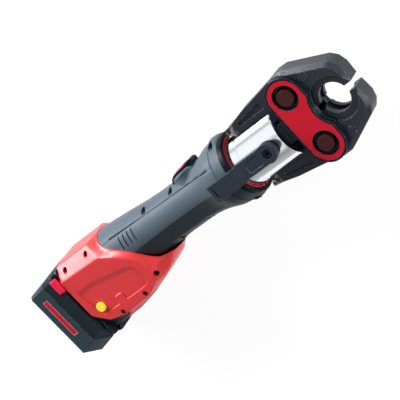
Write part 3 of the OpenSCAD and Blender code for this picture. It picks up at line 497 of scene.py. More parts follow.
def finish(slot):
    """The finish of one of the looks, made when it is first asked for."""
    name = f"{slot}_finish"
    if name in bpy.data.materials:
        return bpy.data.materials[name]
    look = LOOKS[slot]
    material, tree, shader = new_material(name)
    tint, rough, metal, height = tinted(tree, look)
    bump = node(tree, "ShaderNodeBump", {
        "Strength": BUMP_STRENGTH, "Distance": look.depth * MM, "Height": height})
    for label, value in (("Base Color", tint), ("Roughness", rough), ("Metallic", metal), ("Normal", bump),
                         ("Specular IOR Level", look.sheen), ("Coat Weight", look.coat),
                         ("Coat Roughness", COAT_ROUGHNESS)):
        feed(tree, shader.inputs[label], value)
    return material


# Meshes

def metres(place):
    """A place or size in metres, from millimetres."""
    return [part * MM for part in place]


def linked(name, form, slot=None):
    """Links a bmesh, given in metres, as an object at the origin, with the slot's finish."""
    mesh = bpy.data.meshes.new(name)
    form.to_mesh(mesh)
    form.free()
    piece = bpy.data.objects.new(name, mesh)
    bpy.context.scene.collection.objects.link(piece)
    if slot:
        mesh.materials.append(finish(slot))
    return piece


def add_piece(name, form, slot=None):
    """Links a bmesh, given in millimetres, as an object at the origin, in metres."""
    bmesh.ops.scale(form, vec=(MM, MM, MM), verts=form.verts)
    return linked(name, form, slot)


def cad_copy(name, cad_node, slot):
    """A copy of a CAD node as a clean mesh, with its flat faces in one piece each."""
    form = bmesh.new()
    form.from_mesh(frame["nodes"][cad_node].data)
    bmesh.ops.remove_doubles(form, verts=form.verts, dist=SAME_PLACE * MM)
    bmesh.ops.dissolve_limit(form, angle_limit=SAME_PLANE, verts=form.verts, edges=form.edges)
    return linked(name, form, slot)


def settle(piece):
    """Turns the piece's modifiers into plain mesh."""
    bpy.context.view_layer.update()
    graph = bpy.context.evaluated_depsgraph_get()
    mesh = bpy.data.meshes.new_from_object(piece.evaluated_get(graph))
    old = piece.data
    piece.modifiers.clear()
    piece.data = mesh
    mesh.name = piece.name
    bpy.data.meshes.remove(old)
    return piece


def carve(piece, cutters, operation="DIFFERENCE"):
    """Cuts the cutters out of the piece, or joins them to it, and removes them."""
    for cutter in cutters:
        change = piece.modifiers.new("carve", "BOOLEAN")
        change.operation = operation
        change.solver = "EXACT"
        change.object = cutter
    settle(piece)
    for cutter in cutters:
        mesh = cutter.data
        bpy.data.objects.remove(cutter)
        bpy.data.meshes.remove(mesh)
    return piece


def smooth(piece, angle=40):
    """Smooth shading, with edges sharper than the angle kept sharp."""
    mesh = piece.data
    mesh.polygons.foreach_set("use_smooth", [True] * len(mesh.polygons))
    mesh.set_sharp_from_angle(angle=math.radians(angle))
    return piece


def soften(piece, width, segments=2, angle=32):
    """Rounds the edges sharper than the angle; flat faces stay flat in the shading."""
    change = piece.modifiers.new("soften", "BEVEL")
    change.width = width
    change.segments = segments
    change.limit_method = "ANGLE"
    change.angle_limit = math.radians(angle)
    settle(piece)
    smooth(piece)
    level = piece.modifiers.new("level", "WEIGHTED_NORMAL")
    level.keep_sharp = True
    return settle(piece)


def on_body(piece, body, slot, *nodes):
    """The piece rides on the body and stands for the nodes; the slot is not used."""
    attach(piece, body)
    if nodes:
        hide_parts(*nodes)
    return piece


def close_rings(form, rings):
    """Faces between rings of vertices, and a cap at each end."""
    for lower, upper in zip(rings, rings[1:]):
        for i in range(len(lower)):
            j = (i + 1) % len(lower)
            form.faces.new((lower[i], lower[j], upper[j], upper[i]))
    form.faces.new(rings[-1])
    form.faces.new(list(reversed(rings[0])))
    bmesh.ops.recalc_face_normals(form, faces=form.faces)


def lofted(rings):
    """A closed shape through rings of places."""
    form = bmesh.new()
    close_rings(form, [[form.verts.new(place) for place in ring] for ring in rings])
    return form


def prism(outline, low, high):
    """A straight block of a flat outline between two heights."""
    return lofted([[(x, y, z) for x, y in outline] for z in (low, high)])


def box(low, high):
    """The outline of a rectangle between two corners."""
    return (low[0], low[1]), (high[0], low[1]), (high[0], high[1]), (low[0], high[1])


def rod(at, low, high, radius, steps=32):
    """A round cutter along Z."""
    turns = [math.tau * i / steps for i in range(steps)]
    return prism([(at[0] + radius * math.cos(a), at[1] + radius * math.sin(a)) for a in turns], low, high)


def turned(profile, steps=72):
    """A ring about the tool's axis from stations and radii, which go once round its section."""
    form = bmesh.new()
    rings = []
    for i in range(steps):
        angle = math.tau * i / steps
        rings.append([form.verts.new((x, r * math.cos(angle), r * math.sin(angle))) for x, r in profile])
    for first, second in zip(rings, rings[1:] + rings[:1]):
        for k in range(len(profile)):
            j = (k + 1) % len(profile)
            form.faces.new((first[k], first[j], second[j], second[k]))
    bmesh.ops.recalc_face_normals(form, faces=form.faces)
    return form


def flipped(form):
    """The shape mirrored to the tool's other side."""
    bmesh.ops.scale(form, vec=(1, 1, -1), verts=form.verts)
    bmesh.ops.reverse_faces(form, faces=form.faces)
    return form


def at_side(form, side):
    """The shape on one side of the tool, from the one that faces the camera."""
    return form if side > 0 else flipped(form)


# Curves and outlines

def evenly(first, last, steps):
    """Evenly spaced values from first to last."""
    return [first + (last - first) * k / steps for k in range(steps + 1)]


def eased(value, low, high):
    """How far the value is from low to high, from 0 to 1, starting and ending gently."""
    t = min(1.0, max(0.0, (value - low) / (high - low)))
    return t * t * (3 - 2 * t)


def smooth_through(knots, x):
    """A smooth curve through the knots, with no overshoot between them."""
    if x <= knots[0][0]:
        return knots[0][1]
    if x >= knots[-1][0]:
        return knots[-1][1]
    slopes = [(b[1] - a[1]) / (b[0] - a[0]) for a, b in zip(knots, knots[1:])]
    i = max(k for k in range(len(slopes)) if knots[k][0] <= x)

    def tangent(k):
        """Slope of the curve at a knot."""
        if k in (0, len(slopes)):
            return slopes[min(k, len(slopes) - 1)]
        before, after = slopes[k - 1], slopes[k]
        return 0.0 if before * after <= 0 else 2 * before * after / (before + after)

    span = knots[i + 1][0] - knots[i][0]
    t = (x - knots[i][0]) / span
    rise = (1 - t) * (1 - t) * t * span * tangent(i) - (1 - t) * t * t * span * tangent(i + 1)
    ease = t * t * (3 - 2 * t)
    return knots[i][1] * (1 - ease) + knots[i + 1][1] * ease + rise


def filleted(points, radii, steps):
    """The outline with each corner turned into an arc of about its radius, on less than half of an edge."""
    most = 0.45
    rounded = []
    count = len(points)
    for i, radius in enumerate(radii):
        before, corner, after = (Vector(points[(i + k) % count]) for k in (-1, 0, 1))
        back, ahead = before - corner, after - corner
        reach = min(radius, most * back.length, most * ahead.length)
        start = corner + back.normalized() * reach
        end = corner + ahead.normalized() * reach
        for t in evenly(0, 1, steps):
            rounded.append(tuple(start * (1 - t) ** 2 + corner * 2 * t * (1 - t) + end * t * t))
    return rounded


def mixed(first, second, t):
    """The outline a share of the way from the first to the second."""
    return [(a[0] + (b[0] - a[0]) * t, a[1] + (b[1] - a[1]) * t) for a, b in zip(first, second)]


def matched(first, second, pitch):
    """Two closed outlines with points added along both, as many on an edge of one as of the other."""
    pair = ([], [])
    for i in range(len(first)):
        j = (i + 1) % len(first)
        longest = max(math.dist(first[i], first[j]), math.dist(second[i], second[j]))
        count = max(1, round(longest / pitch))
        for outline, points in zip((first, second), pair):
            points += [mixed([outline[i]], [outline[j]], k / count)[0] for k in range(count)]
    return pair


def shrunk(outline, amount, rear):
    """The outline pulled in towards its middle, and its rear end set at its own station."""
    middle = Vector((sum(p[0] for p in outline), sum(p[1] for p in outline))) / len(outline)
    pulled = []
    for p in outline:
        inward = middle - Vector(p)
        moved = Vector(p) + inward.normalized() * amount
        pulled.append((max(rear, moved.x), moved.y))
    return pulled


# Grip

def plain_radius(x):
    """Radius of the grip or the neck at a station, before its flat and its ears."""
    if x < NECK_RIDGE:
        return smooth_through(GRIP_PROFILE, x) - DROP * eased(x, DROP_START, DROP_END)
    taper = NECK_TAPER * (x - NECK_RIDGE) / (LIP - NECK_RIDGE)
    return NECK_RADIUS - RISE * eased(x, RISE_END, NECK_RIDGE) - taper


def grip_radius(x, angle):
    """Radius of the grip at a station and an angle from the trigger side, round the tool's side."""
    radius = plain_radius(x)
    degrees = math.degrees(angle)
    if FLAT_START < degrees < FLAT_END:
        half = math.radians(FLAT_END - FLAT_START) / 2
        off_middle = math.radians(degrees - (FLAT_START + FLAT_END) / 2)
        sunk = 1 - math.cos(half) / math.cos(off_middle)
        radius -= radius * sunk * (1 - eased(x, FADE_START, FADE_END))
    ear = max(0.0, 1 - ((x - EAR_STATION) / EAR_REACH) ** 4)
    side = min(degrees, 180 - degrees)
    return radius + EAR_HEIGHT * ear * max(0.0, 1 - (side / EAR_SPREAD) ** 4)


def seam_station(angle):
    """Where the grip ends at this angle, on the line where it meets the rear housing."""
    first_guess, rounds = 150.0, 30
    x = first_guess
    for _ in range(rounds):
        x = 0.5 * x + 0.5 * smooth_through(SEAM_LINE, grip_radius(x, angle) * math.cos(angle))
    return x + SEAM_GAP


def grip_stations(angle):
    """Stations along the grip at this angle, from the seam to the lip."""
    rear = evenly(seam_station(angle), STRAIGHT, REAR_STEPS)
    front = evenly(STRAIGHT, FRONT_END, FRONT_STEPS)
    return [*rear[:-1], *front, *RIDGE_STATIONS, *NECK_STATIONS]


def hollow_radius(x, angle, wall):
    """Radius inside the grip's shell, which opens up where the head's bush sits."""
    if x < SLEEVE_START:
        return min(grip_radius(x, angle), plain_radius(x)) - wall
    return SLEEVE_RADIUS


def grip_marks():
    """Angles in degrees round one half of the grip, closer together at its creases."""
    creases = (FLAT_START, FLAT_END)
    room = 1.2
    close = [crease + off for crease in creases for off in (-0.7, -0.05, 0.05, 0.7)]
    clear = [mark for mark in evenly(0, 180, 36) if min(abs(mark - crease) for crease in creases) > room]
    return sorted(clear + close)


def grip_shell(side, wall):
    """One half of the grip's shell, in millimetres, closed along the parting plane."""
    form = bmesh.new()
    outer, inner = [], []
    for degrees in grip_marks():
        angle = math.radians(degrees)
        outside, inside = [], []
        for x in grip_stations(angle):
            for ring, radius in ((outside, grip_radius(x, angle)), (inside, hollow_radius(x, angle, wall))):
                height = max(PARTING, radius * math.sin(angle))
                ring.append(form.verts.new((x, radius * math.cos(angle), side * height)))
        outer.append(outside)
        inner.append(inside)
    last_row, last = len(outer) - 1, len(outer[0]) - 1
    for i in range(last_row):
        for k in range(last):
            form.faces.new((outer[i][k], outer[i][k + 1], outer[i + 1][k + 1], outer[i + 1][k]))
            form.faces.new((inner[i][k], inner[i + 1][k], inner[i + 1][k + 1], inner[i][k + 1]))
        for k in (0, last):
            form.faces.new((outer[i][k], outer[i + 1][k], inner[i + 1][k], inner[i][k]))
    for i in (0, last_row):
        for k in range(last):
            form.faces.new((outer[i][k], outer[i][k + 1], inner[i][k + 1], inner[i][k]))
    bmesh.ops.recalc_face_normals(form, faces=form.faces)
    return form


def trigger_guard(side):
    """The guard on one half of the grip, rooted in the wall of its shell."""
    rings = []
    for x, half, top in TRIGGER_GUARD:
        root = plain_radius(x) - GUARD_ROOT
        foot = [(math.sqrt(root ** 2 - half ** 2 / 4), half / 2), (math.sqrt(root ** 2 - half ** 2), half)]
        rim = [(top + down, half + out) for down, out in GUARD_RIM]
        section = [(root, PARTING), *foot, *rim, (top, PARTING)]
        rings.append([(x, y, side * z) for y, z in section])
    return add_piece("guard", lofted(rings))


def grip_bosses(side):
    """The posts that hold the grip's screws, cut off at its surface."""
    bosses = []
    for x, y in GRIP_SCREWS.spots:
        if x < SLEEVE_START:
            post = rod((x, HOLE_PULL * y), POST_FOOT, POST_TOP, POST_RADIUS)
            boss = add_piece("boss", at_side(post, side))
            bosses.append(carve(boss, [add_piece("boss_end", grip_shell(side, POST_DEPTH))], "INTERSECT"))
    return bosses


def groove_cutter():
    """The fine groove along the grip's trigger side, which keeps to its line as the grip narrows."""
    section = box((-GROOVE_HALF, -GROOVE_DEPTH), (GROOVE_HALF, GROOVE_TOP))
    rings = []
    for x in evenly(GROOVE_LINE[0][0], GROOVE_LINE[-1][0], 40):
        y = smooth_through(GROOVE_LINE, x)
        z = math.sqrt(plain_radius(x) ** 2 - y ** 2)
        rings.append([(x, y + across, z + up) for across, up in section])
    return add_piece("grip_groove", lofted(rings))


def build_grip():
    """The two halves of the grip, with the guard, posts, holes, vents and groove."""
    sizes = bpy.context.scene.tool_sizes
    for side, half in ((1, "top"), (-1, "bottom")):
        piece = add_piece(f"grip_shell_{half}", grip_shell(side, sizes.shell_wall / MM), "grip_plastic")
        carve(piece, [trigger_guard(side)] + grip_bosses(side), "UNION")
        gap = prism(box(*TRIGGER_GAP), -TRIGGER_GAP_HALF, TRIGGER_GAP_HALF)
        cutters = [add_piece("trigger_gap", gap)]
        if side > 0:
            holes = [(x, HOLE_PULL * y) for x, y in GRIP_SCREWS.spots]
            cutters += screw_holes(holes, GRIP_SCREWS)
        carve(piece, cutters)
        soften(piece, sizes.shell_edge, angle=50)
        if side > 0:
            smooth(carve(piece, [vent_cutter(), groove_cutter()]))
        on_body(piece, "tool", "grip_plastic", f"handle_{half}")


def screw_holes(spots, screws):
    """Cutters for the holes above the seats of screws."""
    return [add_piece("screw_hole", rod(at, screws.seat, BEYOND, screws.hole)) for at in spots]


# Repeats made with geometry nodes

def geometry_tree(name, inputs):
    """A geometry tree with named inputs between its geometry and its material, and what they give."""
    tree = bpy.data.node_groups.new(name, "GeometryNodeTree")
    for label, kind in (("Geometry", "Geometry"), *inputs, ("Material", "Material")):
        tree.interface.new_socket(label, in_out="INPUT", socket_type=f"NodeSocket{kind}")
    tree.interface.new_socket("Geometry", in_out="OUTPUT", socket_type="NodeSocketGeometry")
    return tree, node(tree, "NodeGroupInput").outputs


def end_tree(tree, given, made):
    """Realises what the tree made and gives it the material from its input."""
    real = node(tree, "GeometryNodeRealizeInstances", {0: made})
    painted = node(tree, "GeometryNodeSetMaterial", {"Geometry": real, "Material": given["Material"]})
    node(tree, "NodeGroupOutput", {0: painted})
    return tree


def grown(name, tree, values, slot, form=None):
    """An object whose mesh the tree makes from the named values, with the slot's finish."""
    piece = add_piece(name, form or bmesh.new())
    change = piece.modifiers.new(name, "NODES")
    change.node_group = tree
    sockets = {item.name: item.identifier for item in tree.interface.items_tree if item.in_out == "INPUT"}
    for label, value in {**values, "Material": finish(slot)}.items():
        change[sockets[label]] = value
    return settle(piece)


def vent_tree():
    """A row of slots, each a flat block turned across the row."""
    tree, given = geometry_tree("vent_row", (
        ("Count", "Int"), ("Pitch", "Float"), ("Slot Size", "Vector"), ("First Place", "Vector"),
        ("Turn", "Float")))
    step = node(tree, "ShaderNodeCombineXYZ", {"X": given["Pitch"]})
    turn = node(tree, "ShaderNodeCombineXYZ", {"Z": given["Turn"]})
    line = node(tree, "GeometryNodeMeshLine", {
        "Count": given["Count"], "Start Location": given["First Place"], "Offset": step})
    block = node(tree, "GeometryNodeMeshCube", {"Size": given["Slot Size"]})
    return end_tree(tree, given, node(tree, "GeometryNodeInstanceOnPoints", {
        "Points": line, "Instance": block, "Rotation": turn}))


def vent_cutter():
    """The grip's row of slots, as one cutter."""
    sizes = bpy.context.scene.tool_sizes
    return grown("vent_slots", vent_tree(), {
        "Count": sizes.vent_count, "Pitch": sizes.vent_pitch, "Slot Size": metres(VENT_SLOT),
        "First Place": metres(FIRST_VENT), "Turn": math.radians(VENT_TURN)}, "black_plastic")


def screw_tree():
    """Socket screws standing on the points of a mesh, heads up."""
    tree, given = geometry_tree("socket_screws", (
        ("Head Radius", "Float"), ("Head Height", "Float"), ("Shank Radius", "Float"),
        ("Shank Length", "Float")))

    def round_bar(radius, length, sides, lift):
        """An upright bar, lifted by a share of its length."""
        bar = node(tree, "GeometryNodeMeshCylinder", {"Vertices": sides, "Radius": radius, "Depth": length})
        rise = node(tree, "ShaderNodeCombineXYZ", {"Z": math_node(tree, "MULTIPLY", length, lift)})
        return node(tree, "GeometryNodeTransform", {"Geometry": bar, "Translation": rise})

    radius, height = given["Head Radius"], given["Head Height"]
    head = round_bar(radius, height, 32, 0.5)
    socket = round_bar(math_node(tree, "MULTIPLY", radius, 0.55), height, 6, 1.0)
    hollow = node(tree, "GeometryNodeMeshBoolean", {"Mesh 1": head, "Mesh 2": socket},
                  operation="DIFFERENCE")
    shank = round_bar(given["Shank Radius"], given["Shank Length"], 20, -0.5)
    screw = node(tree, "GeometryNodeJoinGeometry")
    for part in (hollow, shank):
        feed(tree, screw.inputs[0], part)
    points = node(tree, "GeometryNodeMeshToPoints", {0: given["Geometry"]})
    return end_tree(tree, given, node(tree, "GeometryNodeInstanceOnPoints", {
        "Points": points, "Instance": screw}))


def build_screws():
    """The screws of the grip and of the rear housing, one piece for each set."""
    tree = screw_tree()
    for name, cad_node, screws in (("grip_screw_set", "handle_screws", GRIP_SCREWS),
                                   ("housing_screw_set", "housing_screws", HOUSING_SCREWS)):
        form = bmesh.new()
        for x, y in screws.spots:
            form.verts.new((x, y, screws.seat))
        piece = grown(name, tree, {
            "Head Radius": screws.head * MM, "Head Height": SCREW_HEAD_HEIGHT * MM,
            "Shank Radius": screws.shank * MM, "Shank Length": screws.length * MM}, "screw_steel", form)
        soften(piece, SCREW_EDGE * MM)
        on_body(piece, "tool", "screw_steel", cad_node)


class Coil(NamedTuple):
    """A wound spring: its turns, radius, wire and length, the middle of its foot and how it is turned"""

    turns: float
    radius: float
    wire: float
    length: float
    foot: tuple
    turn: tuple = (0.0, 0.0, 0.0)


QUARTER = math.pi / 2
RAM_COIL = Coil(4.0, 12.0, 1.6, 16.8, (250.4, 0.0, 0.0), (0.0, QUARTER, 0.0))
# Springs that a joint squashes: name, coil, body, replaced nodes, joint, axis, anchor and what is kept
PRESSED_COILS = (
    ("trigger_coil", Coil(4.0, 2.2, 0.6, 5.6, (254.5, 20.1, 0.0), (-QUARTER, 0.0, 0.0)), "tool",
     ("trigger_spring",), "trigger_press", (0, 1, 0), (254.5, 19.7, 0.0), 0.85),
    ("button_coil", Coil(3.0, 4.7, 0.7, 5.8, (*BUTTON, 20.4)), "tool",
     ("reset_spring",), "reset_press", (0, 0, 1), (*BUTTON, BUTTON_SEAT), 0.5),
    ("latch_coil_top", Coil(3.0, 2.6, 0.6, 3.3, (39.2, 18.3, 27.35)), "pack",
     ("latch_springs",), "release_top_press", (0, 0, 1), (39.2, 18.3, 27.0), 0.24),
    ("latch_coil_bottom", Coil(3.0, 2.6, 0.6, 3.3, (39.2, 18.3, -27.35), (math.pi, 0.0, 0.0)), "pack",
     (), "release_bottom_press", (0, 0, 1), (39.2, 18.3, -27.0), 0.24),
)


def coil_tree():
    """A wound spring between two flat ends, along a turned axis."""
    tree, given = geometry_tree("wound_spring", (
        ("Turns", "Float"), ("Radius", "Float"), ("Wire", "Float"), ("Length", "Float"), ("Foot", "Vector"),
        ("Turn", "Vector")))
    spiral = node(tree, "GeometryNodeCurveSpiral", {
        "Resolution": 32, "Rotations": given["Turns"], "Start Radius": given["Radius"],
        "End Radius": given["Radius"], "Height": given["Length"]})
    section = node(tree, "GeometryNodeCurvePrimitiveCircle", {
        "Resolution": 10, "Radius": math_node(tree, "MULTIPLY", given["Wire"], 0.5)})
    swept = node(tree, "GeometryNodeCurveToMesh", {
        "Curve": spiral, "Profile Curve": section, "Fill Caps": True})
    return end_tree(tree, given, node(tree, "GeometryNodeTransform", {
        "Geometry": swept, "Translation": given["Foot"], "Rotation": given["Turn"]}))


def wound(name, tree, coil):
    """A spring as the coil says."""
    return smooth(grown(name, tree, {
        "Turns": coil.turns, "Radius": coil.radius * MM, "Wire": coil.wire * MM,
        "Length": coil.length * MM, "Foot": metres(coil.foot), "Turn": coil.turn}, "spring_steel"))


def build_springs():
    """The springs that a joint squashes, each on its body, and the ram's, which in the tool stretches between
    two bodies and here is set on none.
    """
    tree = coil_tree()
    for name, coil, body, nodes, joint, axis, anchor, keep in PRESSED_COILS:
        piece = on_body(wound(name, tree, coil), body, "spring_steel", *nodes)
        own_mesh(piece)
    piece = wound("ram_return_coil", tree, RAM_COIL)
    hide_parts("return_spring")
    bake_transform(piece)


# Rear housing

def seam_points():
    """Points of the seam seen from the side, every half millimetre."""
    return [(smooth_through(SEAM_LINE, y), y) for y in evenly(-50, 50, 200)]


def drawn_to_grip(place, seam, proud):
    """A place on the housing, drawn in to lie a little proud of the grip where the seam is near."""
    x, y, z = place
    reach = math.hypot(y, z)
    target = plain_radius(min(max(x, DRAWN_START), DRAWN_END)) + proud
    step = reach - target
    if step <= 0:
        return place
    away = 0.0
    if x < smooth_through(SEAM_LINE, y):
        away = min(math.dist((x, y), point) for point in seam)
    share = max(0.0, 1 - away / (RUN_OUT + RUN_SHARE * step))
    shrink = (reach - step * share) / reach
    return x, y * shrink, z * shrink


def housing_block(inset, rear):
    """The housing's half body as a loft from the parting plane to its side panel."""
    waist, panel = matched(
        filleted(WAIST, HOUSING_ROUNDS, 3), filleted(PANEL, HOUSING_ROUNDS, 3), pitch=2.0)
    if inset:
        waist, panel = shrunk(waist, inset, rear), shrunk(panel, inset, rear)
    # A hollow goes through the parting plane, and a shell ends just short of it
    floor = -1.0 if inset > 1 else PARTING
    side = ((0.0, floor), *HOUSING_SIDE)
    rings = [(mixed(waist, panel, share), max(floor, z - inset)) for share, z in side]
    rings += [(shrunk(panel, pull, rear), PANEL_Z - inset) for pull in PANEL_RINGS]
    seam = seam_points()
    return lofted([[drawn_to_grip((BODY_X + x, y, z), seam, PROUD - inset) for x, y in outline]
                   for outline, z in rings])


def seam_cutter():
    """What lies on the grip's side of the seam."""
    reach, front = 60, 330
    line = [(smooth_through(SEAM_LINE, y) - SEAM_GAP, y) for y in evenly(-reach, reach, 40)]
    return add_piece("seam", prism([*line, (front, reach), (front, -reach)], -reach, reach))


def sunk_cutter():
    """The shallow field in the side panel, with a long slope on the trigger side."""
    floor = filleted(SUNK, [SUNK_ROUND] * len(SUNK), 4)
    top, over = PANEL_Z + 0.05, 0.3
    rings = []
    for step in range(SLOPE_RINGS + 2):
        grow = step / SLOPE_RINGS
        z = SUNK_Z + (top - SUNK_Z) * eased(step, 0, SLOPE_RINGS)
        if step > SLOPE_RINGS:
            z += over
        ring = []
        for x, y in floor:
            away = (Vector((x, y)) - SUNK_MIDDLE).normalized() * (SLOPE_GROWTH * grow)
            lift = LONG_SLOPE * grow * eased(y, LONG_SLOPE_LOW, LONG_SLOPE_HIGH)
            lift *= 1 - SHORTER_BY * eased(x, SHORTER_FROM, SHORTER_TO)
            ring.append((BODY_X + x + away.x, y + away.y + lift, z))
        rings.append(ring)
    return add_piece("sunk_field", lofted(rings))


def boot_region(grow):
    """Plan of the black boot that the battery seat folds up round the housing's lower corner."""
    outline = [(42, -28.4 + grow), (45.6, -32.1 + grow), (61.5, -48.2 + grow), (80, -51.0 + grow),
               (86 + grow, -52.2 + grow), (72 + grow, -58), (66 + grow, -70), (42, -70)]
    return add_piece("boot_region", prism(outline, -BEYOND, BEYOND))


def housing_hollow(side, wall):
    """What the walls of one half of the housing enclose."""
    return add_piece("hollow", at_side(housing_block(wall, wall), side))


def build_boot(half, side, wall):
    """One half of the boot, a little lower than the red shell round it."""
    piece = add_piece(f"seat_boot_{half}", at_side(housing_block(BOOT_STEP, 0.0), side), "black_plastic")
    carve(piece, [boot_region(0)], "INTERSECT")
    carve(piece, [housing_hollow(side, wall)])
    soften(piece, BOOT_EDGE * MM, angle=30)
    on_body(piece, "tool", "black_plastic")


def build_housing():
    """The two halves of the rear housing with the boot, the battery seat and the release button."""
    sizes = bpy.context.scene.tool_sizes
    wall = sizes.shell_wall / MM
    for side, half in ((1, "top"), (-1, "bottom")):
        piece = add_piece(f"rear_shell_{half}", at_side(housing_block(0, 0), side), "red_plastic")
        plug_gap = prism(box(*PLUG_GAP), -PLUG_GAP_HALF, PLUG_GAP_HALF)
        cutters = [housing_hollow(side, wall), seam_cutter(), add_piece("plug_gap", plug_gap),
                   boot_region(BOOT_GAP)]
        if side > 0:
            cutters.append(sunk_cutter())
            cutters.append(add_piece("button_hole", rod(BUTTON, BUTTON_SEAT, BEYOND, BUTTON_HOLE)))
            cutters += screw_holes(HOUSING_SCREWS.spots, HOUSING_SCREWS)
        carve(piece, cutters)
        soften(piece, sizes.shell_edge, angle=14)
        on_body(piece, "tool", "red_plastic", f"housing_{half}")
        build_boot(half, side, wall)
    build_rounded("housing")


# Pieces that follow their CAD solids with rounded edges

# Groups of pieces, each with its CAD node, body, slot, rounding and the steps of that
ROUNDED = {
    "housing": (
        ("battery_seat", "receiver", "tool", "black_plastic", 1.0, 3),
        ("release_button", "reset_button", "reset", "yellow_plastic", 0.8, 3),
    ),
    "trigger": (
        ("trigger_lever", "trigger", "trigger_lever", "grip_plastic", 1.6, 3),
        ("trigger_pad", "trigger_insert", "trigger_lever", "red_plastic", 0.4, 2),
    ),
    "head": (
        ("swivel_bush", "swivel_sleeve", "tool", "black_steel", 0.5, 2),
        ("mouth_seal", "seal_ring", "tool", "red_seal", 0.15, 2),
        ("chrome_fork", "fork_head", "head", "polished_steel", 0.5, 2),
        ("locking_bolt", "lock_bolt", "bolt", "black_steel", 0.5, 2),
        ("bolt_handle", "bolt_lever", "lever", "black_plastic", 1.1, 3),
        ("handle_screw", "lever_screw", "bolt", "black_steel", 0.3, 2),
    ),
    "jaw_set": (
        ("jaw_side_plates", "side_plates", "head", "jaw_steel", 0.6, 2),
        ("label_frames", "label_panels", "head", "black_plastic", 0.7, 3),
        ("label_fields", "label_faces", "head", "red_label", 0.15, 2),
        ("jaw_pin_pair", "jaw_pins", "head", "pin_steel", 0.6, 2),
        ("pin_clips", "circlips", "head", "black_steel", 0.2, 2),
        ("jaw_bow_spring", "jaw_spring", "head", "spring_steel", 0.2, 2),
        ("press_jaw_upper", "jaw_upper", "upper_jaw", "jaw_steel", 0.9, 3),
        ("press_jaw_lower", "jaw_lower", "lower_jaw", "jaw_steel", 0.9, 3),
    ),
    "battery": (
        ("pack_base", "pack_lower", "pack", "pack_plastic", 1.4, 3),
        ("pack_cover", "pack_upper", "pack", "pack_plastic", 1.2, 3),
        ("pack_strip", "pack_label", "pack", "red_label", 0.15, 2),
        ("latch_key_top", "latch_top", "release_top", "red_plastic", 1.0, 3),
        ("latch_key_bottom", "latch_bottom", "release_bottom", "red_plastic", 1.0, 3),
    ),
}
# Pieces whose shade differs from their slot's; the trigger's black is painted shade on a grey moulding whose
# side lies in shade
OWN_LOOKS = {"latch_key_top": "latch_red", "latch_key_bottom": "latch_red", "pack_cover": "cover_plastic",
             "trigger_lever": "black_plastic", "bolt_handle": "lever_plastic"}


def build_rounded(group, joined=None, **cutters):
    """Softened copies of a group's CAD nodes, by name; cutters, given by a piece's name, are cut out first.

    Joined gives forms that are united with a piece before that, also by its name.
    """
    built = {}
    for name, cad_node, body, slot, width, segments in ROUNDED[group]:
        piece = cad_copy(name, cad_node, OWN_LOOKS.get(name, slot))
        if joined and name in joined:
            carve(piece, joined[name], "UNION")
        if name in cutters:
            carve(piece, cutters[name])
        soften(piece, width * MM, segments)
        built[name] = on_body(piece, body, slot, cad_node)
    return built


def build_trigger():
    """The trigger, with its sides hollowed in front of its red pad."""
    scoops = []
    for side in (1, -1):
        form = rod((SCOOP_AT[0], side * SCOOP_AT[1]), SCOOP_LOW, SCOOP_HIGH, SCOOP_RADIUS, 48)
        bmesh.ops.rotate(form, matrix=Matrix.Rotation(QUARTER, 3, "X"), verts=form.verts)
        scoops.append(add_piece("trigger_scoop", form))
    build_rounded("trigger", trigger_lever=scoops)


def ring_cutter(start, stop, inside, outside):
    """A ring about the tool's axis between two stations and two radii."""
    return add_piece("ring_cutter", turned(box((start, inside), (stop, outside))))


def build_head():
    """The chrome fork, with its fine groove, its bush with the band, its seal, its bolt and the handle."""
    field = filleted(box(*LEVER_FIELD), [LEVER_FIELD_ROUND] * 4, 3)
    build_rounded(
        "head", joined={"swivel_bush": [add_piece("mouth_band", turned(BAND_SECTION))]},
        chrome_fork=[ring_cutter(*CHROME_GROOVE)],
        mouth_seal=[ring_cutter(*SEAL_GAP)],
        bolt_handle=[add_piece("lever_field", prism(field, LEVER_FIELD_FLOOR, BEYOND))])


def build_jaw_set():
    """The jaws between their side plates, with the bow spring that the jaws squash."""
    built = build_rounded("jaw_set")
    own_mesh(built["jaw_bow_spring"])


def build_battery():
    """The battery with its latch keys, and a pale line printed round its strip."""
    build_rounded("battery")
    low, high = STRIP_TOP - LINE_DEPTH, STRIP_TOP + LINE_PROUD
    border = add_piece("strip_border", prism(box(*STRIP), low, high), "pale_print")
    (rear, left), (front, right) = STRIP
    inside = box((rear + LINE_WIDTH, left + LINE_WIDTH), (front - LINE_WIDTH, right - LINE_WIDTH))
    carve(border, [add_piece("strip_inside", prism(inside, low - 1, high + 1))])
    on_body(border, "pack", "red_label")


def finish_inner_pieces():
    """The CAD nodes that stay get their slots' finishes."""
    slots = {entry["node"]: entry["material_slot"] for entry in frame["record"]["subparts"]}
    for cad_node, piece in frame["nodes"].items():
        piece.data.materials.clear()
        piece.data.materials.append(finish(slots[cad_node]))


# Stage

SENSOR_WIDTH = 36.0
FLOOR_REACH, FLOOR_DROP = 4000, 0.2
FLOOR_COLOUR, FLOOR_ROUGHNESS = (0.86, 0.86, 0.86, 1), 0.9
# Where the camera or a mirror sees the floor, this share of it glows, so that it is pale and keeps a shadow
GLOW_SHARE, GLOW_STRENGTH = 0.84, 1.09
WORLD_COLOUR, WORLD_STRENGTH = (0.90, 0.95, 1.0, 1), 0.17
# Bands of light that metal mirrors: place round the tool's axis, from 0 to 1, and brightness
WORLD_BANDS = ((0.0, 0.7), (0.46, 0.95), (0.50, 1.05), (0.535, 0.55), (0.56, 1.05), (0.66, 1.1),
               (0.70, 0.6), (0.74, 0.95), (0.78, 0.4), (0.84, 0.9), (0.90, 0.3), (0.97, 0.5))
BAND_TINT = (0.94, 0.97, 1.0)
